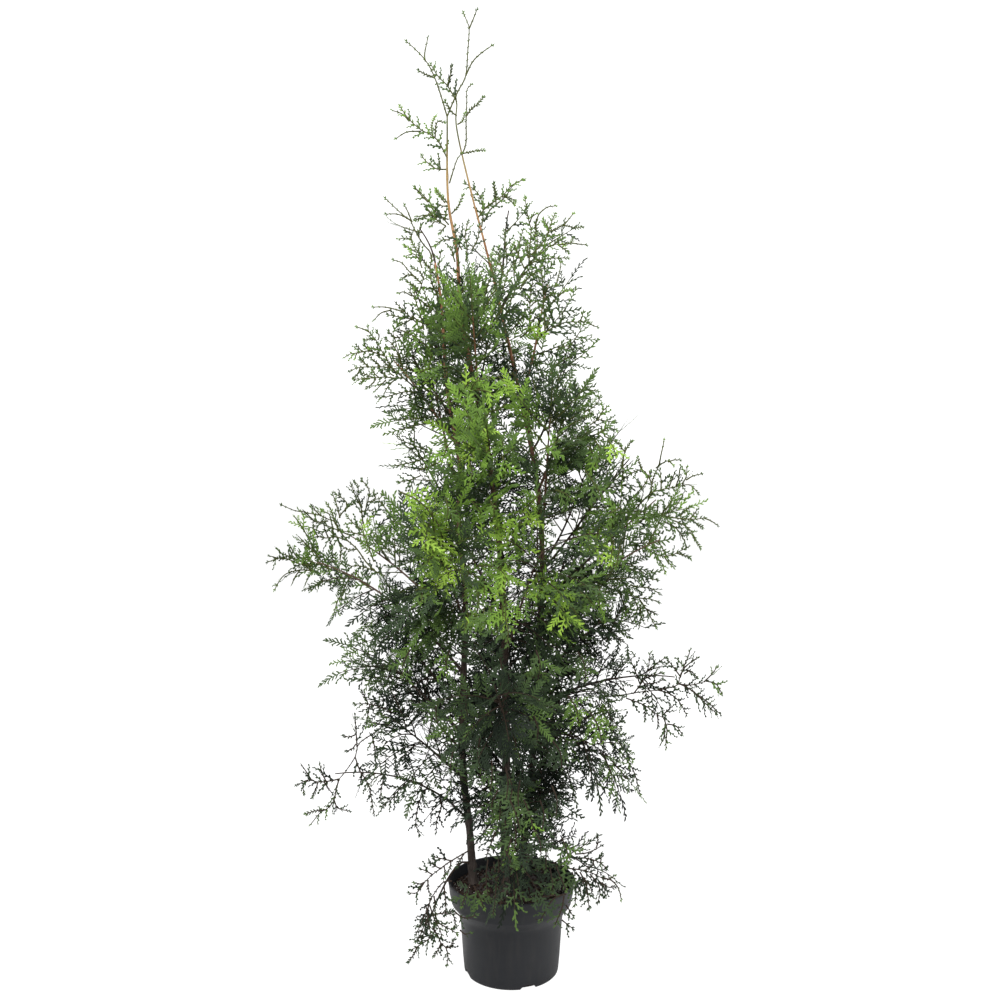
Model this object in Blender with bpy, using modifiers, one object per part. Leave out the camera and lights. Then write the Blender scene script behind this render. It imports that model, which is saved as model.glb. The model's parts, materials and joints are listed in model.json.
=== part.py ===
"""Potted arborvitae, 1.42 m tall: three stems in a round nursery pot, with boughs and masses of foliage.

Run it with  blender --background --python part.py  or from Blender's text editor.
Lengths are in metres and +Z is up. The origin is the centre of the pot's flat underside.
+X is to the right and +Y is away, as the plant is seen from its front.
"""

import math
import random
from collections import namedtuple

import bmesh
import bpy
import numpy as np
from mathutils import Matrix, Vector
from mathutils.bvhtree import BVHTree

# Driving dimensions of the pot
POT_HEIGHT = 0.138
RIM_RADIUS = 0.095
COLLAR_FOOT_RADIUS = 0.0905
COLLAR_FOOT_HEIGHT = 0.106
BODY_TOP_RADIUS = 0.0768
BODY_TOP_HEIGHT = 0.092
BODY_FOOT_RADIUS = 0.0708
FOOT_ROUNDING = 0.0035
WALL = 0.0022
FLOOR = 0.003
POT_STEPS = 36
NOTCH_COUNT = 4
NOTCH_FIRST_ANGLE = -69.5
NOTCH_WIDTH = 0.025
NOTCH_HEIGHT = 0.0075
NOTCH_DEPTH = 0.022
NOTCH_SIDES = 14

# Compost
SOIL_LEVEL = 0.124
SOIL_EDGE_DROP = 0.003
SOIL_FLAT_RADIUS = 0.084

# Pieces that touch keep this gap
GAP = 0.0003

# Colour and roughness of each material
FINISHES = {
    "pot_plastic": ((0.035, 0.037, 0.041), 0.45),
    "compost": ((0.035, 0.022, 0.015), 0.95),
    "bark": ((0.16, 0.085, 0.055), 0.85),
    "foliage": ((0.075, 0.16, 0.035), 0.6),
}
SHARP_ANGLE = 35

# Stems: points that each one's centre line passes through, and its radius at the foot and the tip
Stem = namedtuple("Stem", "foot_radius tip_radius sides line")
STEMS = {
    "left": Stem(0.0058, 0.0015, 8, (
        (-0.058, 0.012, SOIL_LEVEL + GAP), (-0.058, 0.012, 0.134), (-0.063, 0.010, 0.208),
        (-0.073, 0.003, 0.310), (-0.072, -0.004, 0.425), (-0.068, -0.012, 0.545), (-0.077, -0.022, 0.680),
        (-0.076, -0.030, 0.765), (-0.093, -0.038, 0.870), (-0.101, -0.040, 0.990), (-0.110, -0.036, 1.050))),
    "middle": Stem(0.0068, 0.0015, 8, (
        (-0.010, -0.016, SOIL_LEVEL + GAP), (-0.010, -0.016, 0.134), (-0.008, -0.010, 0.350),
        (-0.013, 0.000, 0.559), (-0.025, 0.006, 0.708), (-0.050, 0.010, 0.856), (-0.074, 0.006, 0.975),
        (-0.080, 0.002, 1.070), (-0.093, -0.001, 1.150), (-0.094, -0.002, 1.269))),
    "right": Stem(0.0050, 0.0015, 8, (
        (0.016, 0.052, SOIL_LEVEL + GAP), (0.016, 0.052, 0.134), (0.033, 0.048, 0.304), (0.042, 0.038, 0.493),
        (0.047, 0.026, 0.620), (0.036, 0.018, 0.750), (-0.002, 0.014, 0.931), (-0.032, 0.016, 1.058),
        (-0.060, 0.012, 1.164), (-0.080, 0.003, 1.250), (-0.080, 0.000, 1.287))),
}
STEM_SEGMENTS = 18
STEM_TAPER = 0.85
FLARE = 0.55
FLARE_HEIGHT = 0.010

# Boughs with their masses of foliage. height is where the limb leaves its stem, and tip is the furthest
# tip of its foliage. rise and finish are its slopes in degrees at the stem and at the tip. wood is the
# share of the way that is bare limb, and spread is how far the foliage stands off the limb's line.
Bough = namedtuple("Bough", "name stem height tip rise finish wood spread")
BOUGHS = (
    Bough("upper_right_high", "right", 0.860, (0.096, 0.020, 1.105), 66, 45, 0.22, 0.085),
    Bough("upper_front", "middle", 0.830, (-0.060, -0.130, 1.050), 50, 60, 0.24, 0.090),
    Bough("upper_left", "left", 0.790, (-0.236, -0.020, 0.955), 52, 20, 0.22, 0.075),
    Bough("upper_right", "right", 0.720, (0.115, -0.030, 0.890), 60, 35, 0.20, 0.085),
    Bough("upper_front_right", "right", 0.650, (0.055, -0.170, 0.900), 45, 40, 0.24, 0.095),
    Bough("upper_back_left", "left", 0.720, (-0.150, 0.140, 0.990), 50, 50, 0.24, 0.095),
    Bough("front", "middle", 0.600, (-0.040, -0.215, 0.850), 42, 25, 0.24, 0.095),
    Bough("shoulder_left_high", "left", 0.500, (-0.330, 0.030, 0.690), 52, 16, 0.28, 0.090),
    Bough("shoulder_left", "left", 0.450, (-0.362, -0.060, 0.630), 52, -4, 0.30, 0.080),
    Bough("shoulder_right_high", "right", 0.550, (0.286, 0.030, 0.765), 42, 40, 0.30, 0.085),
    Bough("shoulder_right", "right", 0.500, (0.296, -0.060, 0.672), 50, 4, 0.26, 0.085),
    Bough("middle_front_left", "left", 0.520, (-0.125, -0.235, 0.700), 42, 5, 0.20, 0.100),
    Bough("middle_front_right", "middle", 0.475, (0.075, -0.250, 0.675), 48, -8, 0.20, 0.105),
    Bough("middle_back_left", "middle", 0.530, (-0.150, 0.248, 0.735), 40, 25, 0.20, 0.105),
    Bough("middle_back_right", "right", 0.510, (0.155, 0.243, 0.715), 40, 15, 0.20, 0.105),
    Bough("lower_left", "left", 0.360, (-0.275, 0.000, 0.505), 40, 5, 0.20, 0.095),
    Bough("lower_left_low", "left", 0.290, (-0.243, -0.050, 0.395), 40, -15, 0.18, 0.090),
    Bough("long_right", "right", 0.390, (0.320, 0.000, 0.420), 28, -26, 0.34, 0.075),
    Bough("lower_right", "right", 0.430, (0.225, -0.020, 0.560), 40, -5, 0.20, 0.085),
    Bough("lower_front", "middle", 0.350, (-0.030, -0.240, 0.465), 42, -12, 0.20, 0.105),
    Bough("lower_back", "middle", 0.350, (0.010, 0.252, 0.475), 42, 0, 0.20, 0.105),
)

# Sprays with no bare limb, which spring straight from a stem. A height of None continues the stem's cut tip.
SPRAYS = (
    Bough("leader_left", "middle", None, (-0.150, 0.002, 1.373), 85, 38, 0.0, 0.028),
    Bough("leader_right", "right", None, (-0.059, 0.000, 1.420), 75, 92, 0.0, 0.028),
    Bough("sprig_left", "middle", 1.180, (-0.170, -0.012, 1.270), 50, 38, 0.0, 0.032),
    Bough("sprig_right", "right", 1.010, (0.014, -0.010, 1.174), 70, 45, 0.0, 0.045),
    Bough("stem_left_top", "left", None, (-0.172, -0.020, 1.146), 80, 48, 0.0, 0.058),
    Bough("upper_back", "middle", 0.860, (-0.015, 0.150, 1.085), 50, 55, 0.0, 0.090),
    Bough("right_high", "right", 0.610, (0.165, 0.060, 0.835), 50, 45, 0.0, 0.090),
    Bough("long_left_low", "left", 0.220, (-0.324, 0.040, 0.272), 52, -22, 0.0, 0.055),
    Bough("lower_right_low", "right", 0.330, (0.196, -0.040, 0.270), 45, -62, 0.0, 0.085),
    Bough("base_front", "middle", 0.270, (0.004, -0.155, 0.128), 48, -72, 0.0, 0.075),
    Bough("base_back", "middle", 0.220, (0.062, 0.150, 0.262), 52, -18, 0.0, 0.085),
    Bough("pot_left", "left", 0.150, (-0.139, -0.040, 0.022), 62, -80, 0.0, 0.045),
    Bough("pot_right", "right", 0.155, (0.157, -0.030, 0.112), 55, -58, 0.0, 0.060),
)
# Shares of the way from foot to tip that a bough's curve keeps to its two slopes
REACH_HANDLES = (0.36, 0.34)
BOUGH_SHARE_OF_STEM = 0.52
BOUGH_LEAST_RADIUS = 0.0023
BOUGH_TIP_SHARE = 0.70
BOUGH_SEGMENTS = 4
BOUGH_SIDES = 6
SPRAY_RADIUS = 0.0019
MASS_TIP_RADIUS = 0.0013
MASS_SEGMENTS = 4
MASS_SIDES = 4

# Growth rule of a mass: sprays wind round its stem. Each is a three-sided twig that runs on into a toothed
# fan, which stands for a flat spray of scale leaves. The stem ends in a spray too.
GOLDEN_ANGLE = math.radians(137.5)
SPRAY_SPACING = 0.015
SPRAY_COUNT = (8, 11)
SPRAY_FIRST, SPRAY_LAST = 0.05, 0.90
STEM_CLEAR = 0.014
STEM_END = 0.8
STEM_OVERLAP = 0.002
LEAN_FOOT, LEAN_TIP = 74.0, 36.0
SPRAY_LENGTH = (0.036, 0.150)
SPRAY_SHARE = 1.30
TURNS = (0, 50, -50, 100, -100, 180)
TRIALS = (1.0, 0.86, 0.74, 0.63, 0.54)
LENGTH_SPREAD = (0.88, 1.08)
TURN_SPREAD = 0.3
FACING_SPREAD = 0.9
TWIG_RADIUS = 0.0008
FAN_THICKNESS = 0.0010
# Outline as shares of a spray's length, along and across, for one side: lobes with the notches between them
FAN_RIDGE = 0.46
FAN_MIDDLE = 0.65
TWIG_END = 0.22
FAN_SIDE = ((0.53, 0.28), (0.58, 0.10), (0.83, 0.19), (0.82, 0.055))
FAN_SIDE_SHIFT = 0.035
SPACE_MARGIN = 0.0015
LIMB_MARGIN = 0.0025
LIMB_SAMPLES = 9
LOWEST_LEAF = 0.006
POT_MARGIN = 0.003
SEED = 7

# Fineness of the guide lines, and distances for welding points
PATH_SAMPLES = 33
CURVE_SAMPLES = 12
TURNED_WELD = 0.00005
TUBE_WELD = 0.00002


def clear_scene():
    for old in list(bpy.data.objects):
        bpy.data.objects.remove(old)


def material(name, colour, roughness):
    """A plain Principled BSDF material."""
    made = bpy.data.materials.new(name)
    made.use_nodes = True
    shader = made.node_tree.nodes["Principled BSDF"]
    shader.inputs["Base Color"].default_value = (*colour, 1.0)
    shader.inputs["Roughness"].default_value = roughness
    shader.inputs["Metallic"].default_value = 0.0
    return made


def linked(name, mesh, collection, finish=None):
    """An object of this mesh in a collection, with its material."""
    made = bpy.data.objects.new(name, mesh)
    collection.objects.link(made)
    if finish is not None:
        mesh.materials.clear()
        mesh.materials.append(finish)
    return made


def evaluated_mesh(obj):
    """The object's mesh with its modifiers applied."""
    graph = bpy.context.evaluated_depsgraph_get()
    return bpy.data.meshes.new_from_object(obj.evaluated_get(graph))


def boolean(obj, operation, other):
    """Applies one Boolean of obj with an object or a collection."""
    cut = obj.modifiers.new("Boolean", "BOOLEAN")
    cut.operation = operation
    cut.solver = "EXACT"
    if isinstance(other, bpy.types.Collection):
        cut.operand_type = "COLLECTION"
        cut.collection = other
    else:
        cut.object = other
    bpy.context.view_layer.update()
    mesh = evaluated_mesh(obj)
    obj.modifiers.clear()
    obj.data = mesh


def turned(name, profile, steps, collection, finish):
    """A closed solid of revolution. The profile runs out from the axis and back to it down its outer side."""
    mesh = bpy.data.meshes.new(name)
    edges = [(i, i + 1) for i in range(len(profile) - 1)]
    mesh.from_pydata([(r, 0.0, z) for r, z in profile], edges, [])
    made = linked(name, mesh, collection, finish)
    screw = made.modifiers.new("Screw", "SCREW")
    screw.steps = screw.render_steps = steps
    screw.use_merge_vertices = True
    screw.merge_threshold = TURNED_WELD
    return made


def inner_radius(height):
    """Radius of the pot's inner wall at a height."""
    if height >= COLLAR_FOOT_HEIGHT:
        share = (height - COLLAR_FOOT_HEIGHT) / (POT_HEIGHT - COLLAR_FOOT_HEIGHT)
        return COLLAR_FOOT_RADIUS + share * (RIM_RADIUS - COLLAR_FOOT_RADIUS) - WALL
    share = height / BODY_TOP_HEIGHT
    return BODY_FOOT_RADIUS + share * (BODY_TOP_RADIUS - BODY_FOOT_RADIUS) - WALL


def make_pot(collection, finish):
    """The pot: a tapered body, a wider collar with a rounded lip, and drain notches in its bottom edge."""
    lip = WALL / 2
    profile = [(0.0, FLOOR), (inner_radius(FLOOR), FLOOR), (inner_radius(BODY_TOP_HEIGHT), BODY_TOP_HEIGHT)]
    profile += [(COLLAR_FOOT_RADIUS - WALL, COLLAR_FOOT_HEIGHT), (RIM_RADIUS - WALL, POT_HEIGHT - lip)]
    profile += [(RIM_RADIUS - lip, POT_HEIGHT), (RIM_RADIUS, POT_HEIGHT - lip)]
    profile += [(COLLAR_FOOT_RADIUS, COLLAR_FOOT_HEIGHT), (BODY_TOP_RADIUS, BODY_TOP_HEIGHT - WALL)]
    for angle in (0, 30, 60, 90):
        a = math.radians(angle)
        profile.append((
            BODY_FOOT_RADIUS - FOOT_ROUNDING * (1 - math.cos(a)),
            FOOT_ROUNDING * (1 - math.sin(a)),
        ))
    profile.append((0.0, 0.0))
    pot = turned("pot", profile, POT_STEPS, collection, finish)
    pot.data = evaluated_mesh(pot)
    pot.modifiers.clear()

    cutters = bpy.data.collections.new("pot_cutters")
    bpy.context.scene.collection.children.link(cutters)
    for i in range(NOTCH_COUNT):
        angle = math.radians(NOTCH_FIRST_ANGLE + 360 * i / NOTCH_COUNT)
        mesh = bpy.data.meshes.new("notch")
        shape = bmesh.new()
        bmesh.ops.create_cone(shape, cap_ends=True, segments=NOTCH_SIDES, radius1=0.5, radius2=0.5, depth=1.0)
        shape.to_mesh(mesh)
        shape.free()
        place = Matrix.Rotation(angle, 4, "Z") @ Matrix.Translation((BODY_FOOT_RADIUS, 0, 0))
        size = Matrix.Diagonal((NOTCH_DEPTH, NOTCH_WIDTH, 2 * NOTCH_HEIGHT, 1))
        mesh.transform(place @ size @ Matrix.Rotation(math.radians(90), 4, "Y"))
        linked(f"notch_{i}", mesh, cutters)
    boolean(pot, "DIFFERENCE", cutters)
    remove_collection(cutters)
    shade(pot, finish)
    return pot


def make_soil(collection, finish):
    """The compost that fills the pot, with a flat top that drops a little at its edge."""
    drop = SOIL_LEVEL - SOIL_EDGE_DROP
    profile = [(0.0, SOIL_LEVEL), (SOIL_FLAT_RADIUS, SOIL_LEVEL), (inner_radius(drop) - GAP, drop)]
    profile += [(COLLAR_FOOT_RADIUS - WALL - 2 * GAP, COLLAR_FOOT_HEIGHT)]
    profile += [(inner_radius(BODY_TOP_HEIGHT) - GAP, BODY_TOP_HEIGHT)]
    profile += [(inner_radius(FLOOR) - GAP, FLOOR + GAP), (0.0, FLOOR + GAP)]
    soil = turned("soil", profile, POT_STEPS, collection, finish)
    soil.data = evaluated_mesh(soil)
    soil.modifiers.clear()
    shade(soil, finish)
    return soil


def remove_collection(collection):
    for obj in list(collection.objects):
        bpy.data.objects.remove(obj)
    bpy.data.collections.remove(collection)


def shade(obj, finish):
    """Smooth shading with sharp edges, and one material."""
    obj.data.shade_smooth()
    obj.data.set_sharp_from_angle(angle=math.radians(SHARP_ANGLE))
    obj.data.materials.clear()
    obj.data.materials.append(finish)


def smooth_line(points, count):
    """count + 1 points on a Catmull-Rom curve through the given points, evenly spaced along it."""
    line = [Vector(p) for p in points]
    ends = [2 * line[0] - line[1], *line, 2 * line[-1] - line[-2]]
    fine = []
    for a, b, c, d in zip(ends, ends[1:], ends[2:], ends[3:]):
        for k in range(CURVE_SAMPLES):
            t = k / CURVE_SAMPLES
            fine.append(0.5 * (2 * b + t * (c - a) + t**2 * (2 * a - 5 * b + 4 * c - d)
                               + t**3 * (3 * b - a - 3 * c + d)))
    fine.append(line[-1])
    return evenly(fine, count)


def evenly(line, count):
    """A line's points spaced evenly along it."""
    lengths = [0.0]
    for a, b in zip(line, line[1:]):
        lengths.append(lengths[-1] + (b - a).length)
    made, k = [], 0
    for i in range(count + 1):
        want = lengths[-1] * i / count
        while k < len(line) - 2 and lengths[k + 1] < want:
            k += 1
        share = (want - lengths[k]) / max(lengths[k + 1] - lengths[k], 1e-9)
        made.append(line[k].lerp(line[k + 1], min(share, 1.0)))
    return made


def along(line, share):
    """The point at a share of the way along an evenly spaced line, and the direction there."""
    at = min(max(share, 0.0), 1.0) * (len(line) - 1)
    k = min(int(at), len(line) - 2)
    return line[k].lerp(line[k + 1], at - k), (line[k + 1] - line[k]).normalized()


def stretch(line, start, end, count):
    """count + 1 points on the part of a line between two shares of its length."""
    return [along(line, start + (end - start) * i / count)[0] for i in range(count + 1)]


def length_of(line):
    return sum((b - a).length for a, b in zip(line, line[1:]))


def stem_line(name):
    """A stem's centre line. Its first step is upright, so that its foot is a level cut."""
    points = STEMS[name].line
    return [Vector(points[0]), *smooth_line(points[1:], STEM_SEGMENTS)]


def stem_radius(name, height):
    """A stem's radius at a height, with its taper and the flare at its foot."""
    stem = STEMS[name]
    foot, top = stem.line[0][2], stem.line[-1][2]
    share = min((height - foot) / (top - foot), 1.0)
    taper = stem.tip_radius + (stem.foot_radius - stem.tip_radius) * (1 - share) ** STEM_TAPER
    return taper * (1 + FLARE * math.exp(-(height - foot) / FLARE_HEIGHT))


def stem_at(name, height):
    """The point on a stem's centre line at a height."""
    line = stem_line(name)
    for a, b in zip(line, line[1:]):
        if a.z <= height <= b.z:
            return a.lerp(b, (height - a.z) / (b.z - a.z))
    return line[-1]


def reach_line(bough):
    """The line of a bough and its foliage, from its stem's centre to its furthest tip: one smooth arch."""
    start = stem_line(bough.stem)[-1] if bough.height is None else stem_at(bough.stem, bough.height)
    tip = Vector(bough.tip)
    level = Vector((tip.x - start.x, tip.y - start.y, 0.0)).normalized()
    size = (tip - start).length
    rise, finish = math.radians(bough.rise), math.radians(bough.finish)
    first = start + REACH_HANDLES[0] * size * (level * math.cos(rise) + Vector((0, 0, math.sin(rise))))
    last = tip - REACH_HANDLES[1] * size * (level * math.cos(finish) + Vector((0, 0, math.sin(finish))))
    fine = []
    for i in range(PATH_SAMPLES):
        t = i / (PATH_SAMPLES - 1)
        fine.append((1 - t) ** 3 * start + 3 * t * (1 - t) ** 2 * first
                    + 3 * t**2 * (1 - t) * last + t**3 * tip)
    return evenly(fine, PATH_SAMPLES - 1)


def bough_radius(bough):
    """Radius of a bough where it leaves its stem."""
    return max(BOUGH_SHARE_OF_STEM * stem_radius(bough.stem, bough.height), BOUGH_LEAST_RADIUS)


def tube(name, line, radii, sides, collection):
    """A tapered round limb as a mesh object: a bevelled curve with its caps welded on."""
    curve = bpy.data.curves.new(name, "CURVE")
    curve.dimensions = "3D"
    curve.bevel_depth = 1.0
    curve.bevel_resolution = sides // 2 - 2
    curve.use_fill_caps = True
    spline = curve.splines.new("POLY")
    spline.points.add(len(line) - 1)
    for point, at, radius in zip(spline.points, line, radii):
        point.co = (*at, 1.0)
        point.radius = radius
    guide = bpy.data.objects.new(name, curve)
    collection.objects.link(guide)
    bpy.context.view_layer.update()
    mesh = evaluated_mesh(guide)
    shape = bmesh.new()
    shape.from_mesh(mesh)
    bmesh.ops.remove_doubles(shape, verts=shape.verts, dist=TUBE_WELD)
    shape.to_mesh(mesh)
    shape.free()
    made = bpy.data.objects.new(name, mesh)
    made.matrix_world = guide.matrix_world.copy()
    bpy.data.objects.remove(guide)
    collection.objects.link(made)
    made.name = name
    return made


def make_stem(name, collection, swell=0.0):
    """A whole stem, or with swell the cutter that keeps the limbs' gap round it."""
    line = stem_line(name)
    line[-1] = line[-1] + (line[-1] - line[-2]).normalized() * swell
    radii = [stem_radius(name, p.z) + swell for p in line]
    return tube(f"stem_{name}", line, radii, STEMS[name].sides, collection)


def make_bough(bough, line, collection, around):
    """A bare tapering limb, cut to fit its stem."""
    points = stretch(line, 0.0, bough.wood, BOUGH_SEGMENTS)
    radius = bough_radius(bough)
    radii = [radius * (1 - (1 - BOUGH_TIP_SHARE) * i / BOUGH_SEGMENTS) for i in range(BOUGH_SEGMENTS + 1)]
    made = tube(f"bough_{bough.name}", points, radii, BOUGH_SIDES, collection)
    boolean(made, "DIFFERENCE", around)
    return made


class Space:
    """Tells where a mass may grow: nearer its own line than any other, and clear of limbs, pot and ground."""

    def __init__(self, lines, limbs):
        self.names = list(lines)
        self.starts = np.array([p for n in lines for p in lines[n][:-1]])
        self.ends = np.array([p for n in lines for p in lines[n][1:]])
        self.owner = np.array([i for i, n in enumerate(lines) for _ in lines[n][1:]])
        self.limb_starts = np.array([a for a, _, _ in limbs])
        self.limb_ends = np.array([b for _, b, _ in limbs])
        self.limb_radii = np.array([r for _, _, r in limbs])

    @staticmethod
    def distances(points, starts, ends):
        """Distance from each point to each segment."""
        way = ends - starts
        size = np.maximum((way**2).sum(1), 1e-12)
        off = points[:, None, :] - starts[None]
        share = np.clip((off * way).sum(2) / size, 0, 1)
        return np.linalg.norm(off - share[..., None] * way, axis=2)

    def allows(self, name, place, length):
        """Whether a spray at this place, as its root, direction and normal, stays in its mass's space."""
        root, forward, normal = place
        corners = spray_outline(root, forward, normal, length)
        middle = root + forward * (FAN_RIDGE * length)
        points = [*corners, *(corner.lerp(middle, 0.5) for corner in corners), middle]
        points = np.array([tuple(p) for p in points])
        far = self.distances(points, self.starts, self.ends)
        mine = self.owner == self.names.index(name)
        if (far[:, mine].min(1) > far[:, ~mine].min(1) - SPACE_MARGIN).any():
            return False
        if points[:, 2].min() < LOWEST_LEAF:
            return False
        in_pot = np.hypot(points[:, 0], points[:, 1]) < RIM_RADIUS + POT_MARGIN
        if (in_pot & (points[:, 2] < POT_HEIGHT + POT_MARGIN)).any():
            return False
        return not self.meets_limb(root, forward, normal, length)

    def meets_limb(self, root, forward, normal, length):
        """Whether any limb passes through or close by the box that holds a spray's blade."""
        axes = np.array([tuple(forward), tuple(normal.cross(forward)), tuple(normal)])
        starts = (self.limb_starts - np.array(tuple(root))) @ axes.T
        ends = (self.limb_ends - np.array(tuple(root))) @ axes.T
        shares = np.linspace(0.0, 1.0, LIMB_SAMPLES)[:, None, None]
        along_it, across_it, off_it = np.moveaxis(starts + shares * (ends - starts), 2, 0)
        inside = (along_it > TWIG_END / 2 * length) & (along_it < length + LIMB_MARGIN)
        inside &= np.abs(across_it) < FAN_SIDE[0][1] * length + LIMB_MARGIN
        return bool((inside & (np.abs(off_it) < self.limb_radii + LIMB_MARGIN)).any())


def spray_outline(root, forward, normal, length):
    """The corners of a spray's fan, from the left of its twig round its tip to the right."""
    across = normal.cross(forward).normalized()
    right = [(u + FAN_SIDE_SHIFT, -v) for u, v in reversed(FAN_SIDE)]
    return [root + forward * (u * length) + across * (v * length) for u, v in (*FAN_SIDE, (1.0, 0.0), *right)]


def spray_shape(root, forward, normal, length):
    """Points and faces of a three-sided twig that runs on into a toothed fan, ridged on both faces."""
    across = normal.cross(forward).normalized()
    triangle = [TWIG_RADIUS * (across * x + normal * y) for x, y in ((0.0, 1.0), (0.87, -0.5), (-0.87, -0.5))]
    twig_end = root + forward * (TWIG_END * length)
    middle = root + forward * (FAN_RIDGE * length)
    rise = normal * FAN_THICKNESS
    points = [*(root + corner for corner in triangle), *(twig_end + corner for corner in triangle)]
    points += [*spray_outline(root, forward, normal, length), middle + rise, middle - rise]
    upper, lower = len(points) - 2, len(points) - 1
    faces = [(0, 1, 2), (upper, 4, 3), (upper, 3, 5), (lower, 5, 4)]
    for a, b in ((0, 1), (1, 2), (2, 0)):
        faces += [(b, a, a + 3), (b, a + 3, b + 3)]
    edge = [4, *range(6, upper), 5]
    for a, b in zip(edge, edge[1:]):
        faces += [(upper, b, a), (lower, a, b)]
    return points, faces


def side_of(forward, turn):
    """A unit vector square to forward, turned round it."""
    level = forward.cross(Vector((0, 0, 1)))
    if level.length < 0.1:
        level = Vector((1, 0, 0))
    return (Matrix.Rotation(turn, 3, forward) @ level.normalized()).normalized()


def spray_length(bough):
    """Length of the sprays in a mass."""
    return min(max(SPRAY_SHARE * bough.spread, SPRAY_LENGTH[0]), SPRAY_LENGTH[1])


def facing(forward, at, rng):
    """A fan's normal: square to forward, and turned out from the plant's middle as far as that allows."""
    wander = Vector([rng.uniform(-FACING_SPREAD, FACING_SPREAD) for _ in range(3)])
    outward = Vector((at.x, at.y, 0.0)).normalized() + wander
    return (outward - forward * outward.dot(forward)).normalized()


def grow(bough, line, space, grown, rng):
    """The growth rule: the shapes of one mass's sprays, without those that would touch or leave its space."""
    shapes, middles = [], []
    size = spray_length(bough)
    last = 1 - STEM_END * size / length_of(line)
    begin = bough.wood or STEM_CLEAR / length_of(line)
    count = round(length_of(line) * (last - begin) / SPRAY_SPACING)
    count = min(max(SPRAY_COUNT[0], count), SPRAY_COUNT[1])

    root = along(line, last)[0]
    forward = (line[-1] - root).normalized()
    shapes.append(spray_shape(root, forward, facing(forward, root, rng), (line[-1] - root).length))
    grown.append(BVHTree.FromPolygons(*shapes[-1]))
    for i in range(count):
        share = SPRAY_FIRST + (SPRAY_LAST - SPRAY_FIRST) * i / (count - 1)
        root, forward = along(line, begin + (last - begin) * share)
        first_turn = i * GOLDEN_ANGLE + rng.uniform(-TURN_SPREAD, TURN_SPREAD)
        lean = math.radians(LEAN_FOOT + (LEAN_TIP - LEAN_FOOT) * share)
        length = size * rng.uniform(*LENGTH_SPREAD)
        places = []
        for turn in TURNS:
            side = side_of(forward, first_turn + math.radians(turn))
            out = (forward * math.cos(lean) + side * math.sin(lean)).normalized()
            places.append((root, out, facing(out, root + out * length, rng)))
        found = first_fit(bough.name, places, length, space, grown, middles)
        if found:
            shapes.append(found)
    return shapes


def first_fit(name, places, length, space, grown, middles):
    """The shape of the longest spray that fits at one of these places, in the one with most room about it."""
    for trial in TRIALS:
        size = length * trial
        fits = []
        for place in places:
            if not space.allows(name, place, size):
                continue
            shape = spray_shape(*place, size)
            tree = BVHTree.FromPolygons(*shape)
            if any(tree.overlap(other) for other in grown):
                continue
            middle = place[0] + place[1] * (FAN_MIDDLE * size)
            room = min(((middle - other).length for other in middles), default=0.0)
            fits.append((room, len(fits), shape, tree, middle))
        if fits:
            room, order, shape, tree, middle = max(fits, key=lambda fit: fit[:2])
            grown.append(tree)
            middles.append(middle)
            return shape
    return None


def make_mass(bough, line, shapes, collection, around):
    """One mass of foliage: its stem, with its sprays fused on by a single Boolean union."""
    way = length_of(line)
    on_stem = bough.wood == 0.0
    start = 0.0 if on_stem else bough.wood + GAP / way
    end = 1 - (STEM_END * spray_length(bough) - STEM_OVERLAP) / way
    points = stretch(line, start, end, MASS_SEGMENTS)
    foot = SPRAY_RADIUS if on_stem else bough_radius(bough) * BOUGH_TIP_SHARE
    if bough.height is None:
        foot = STEMS[bough.stem].tip_radius - GAP / 2
    radii = [foot + (MASS_TIP_RADIUS - foot) * i / MASS_SEGMENTS for i in range(MASS_SEGMENTS + 1)]
    made = tube(f"foliage_{bough.name}", points, radii, MASS_SIDES, collection)
    pieces = bpy.data.collections.new("pieces")
    bpy.context.scene.collection.children.link(pieces)
    for i, (corners, faces) in enumerate(shapes):
        mesh = bpy.data.meshes.new(f"spray_{i}")
        mesh.from_pydata(corners, [], faces)
        linked(f"spray_{i}", mesh, pieces)
    boolean(made, "UNION", pieces)
    remove_collection(pieces)
    if on_stem:
        boolean(made, "DIFFERENCE", around)
    return made


def tidy_mass(obj, finish):
    """Drops loose scraps and sealed hollows, keeping the largest body, and triangulates it."""
    shape = bmesh.new()
    shape.from_mesh(obj.data)
    left, bodies = set(shape.faces), []
    while left:
        body, edge = [], [left.pop()]
        while edge:
            face = edge.pop()
            body.append(face)
            for beside in (other for side in face.edges for other in side.link_faces if other in left):
                left.discard(beside)
                edge.append(beside)
        bodies.append(body)
    bodies.sort(key=len)
    scraps = [face for body in bodies[:-1] for face in body]
    bmesh.ops.delete(shape, geom=scraps, context="FACES")
    bmesh.ops.triangulate(shape, faces=shape.faces)
    shape.to_mesh(obj.data)
    shape.free()
    obj.data.materials.clear()
    obj.data.materials.append(finish)
    return len(bodies) - 1


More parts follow.
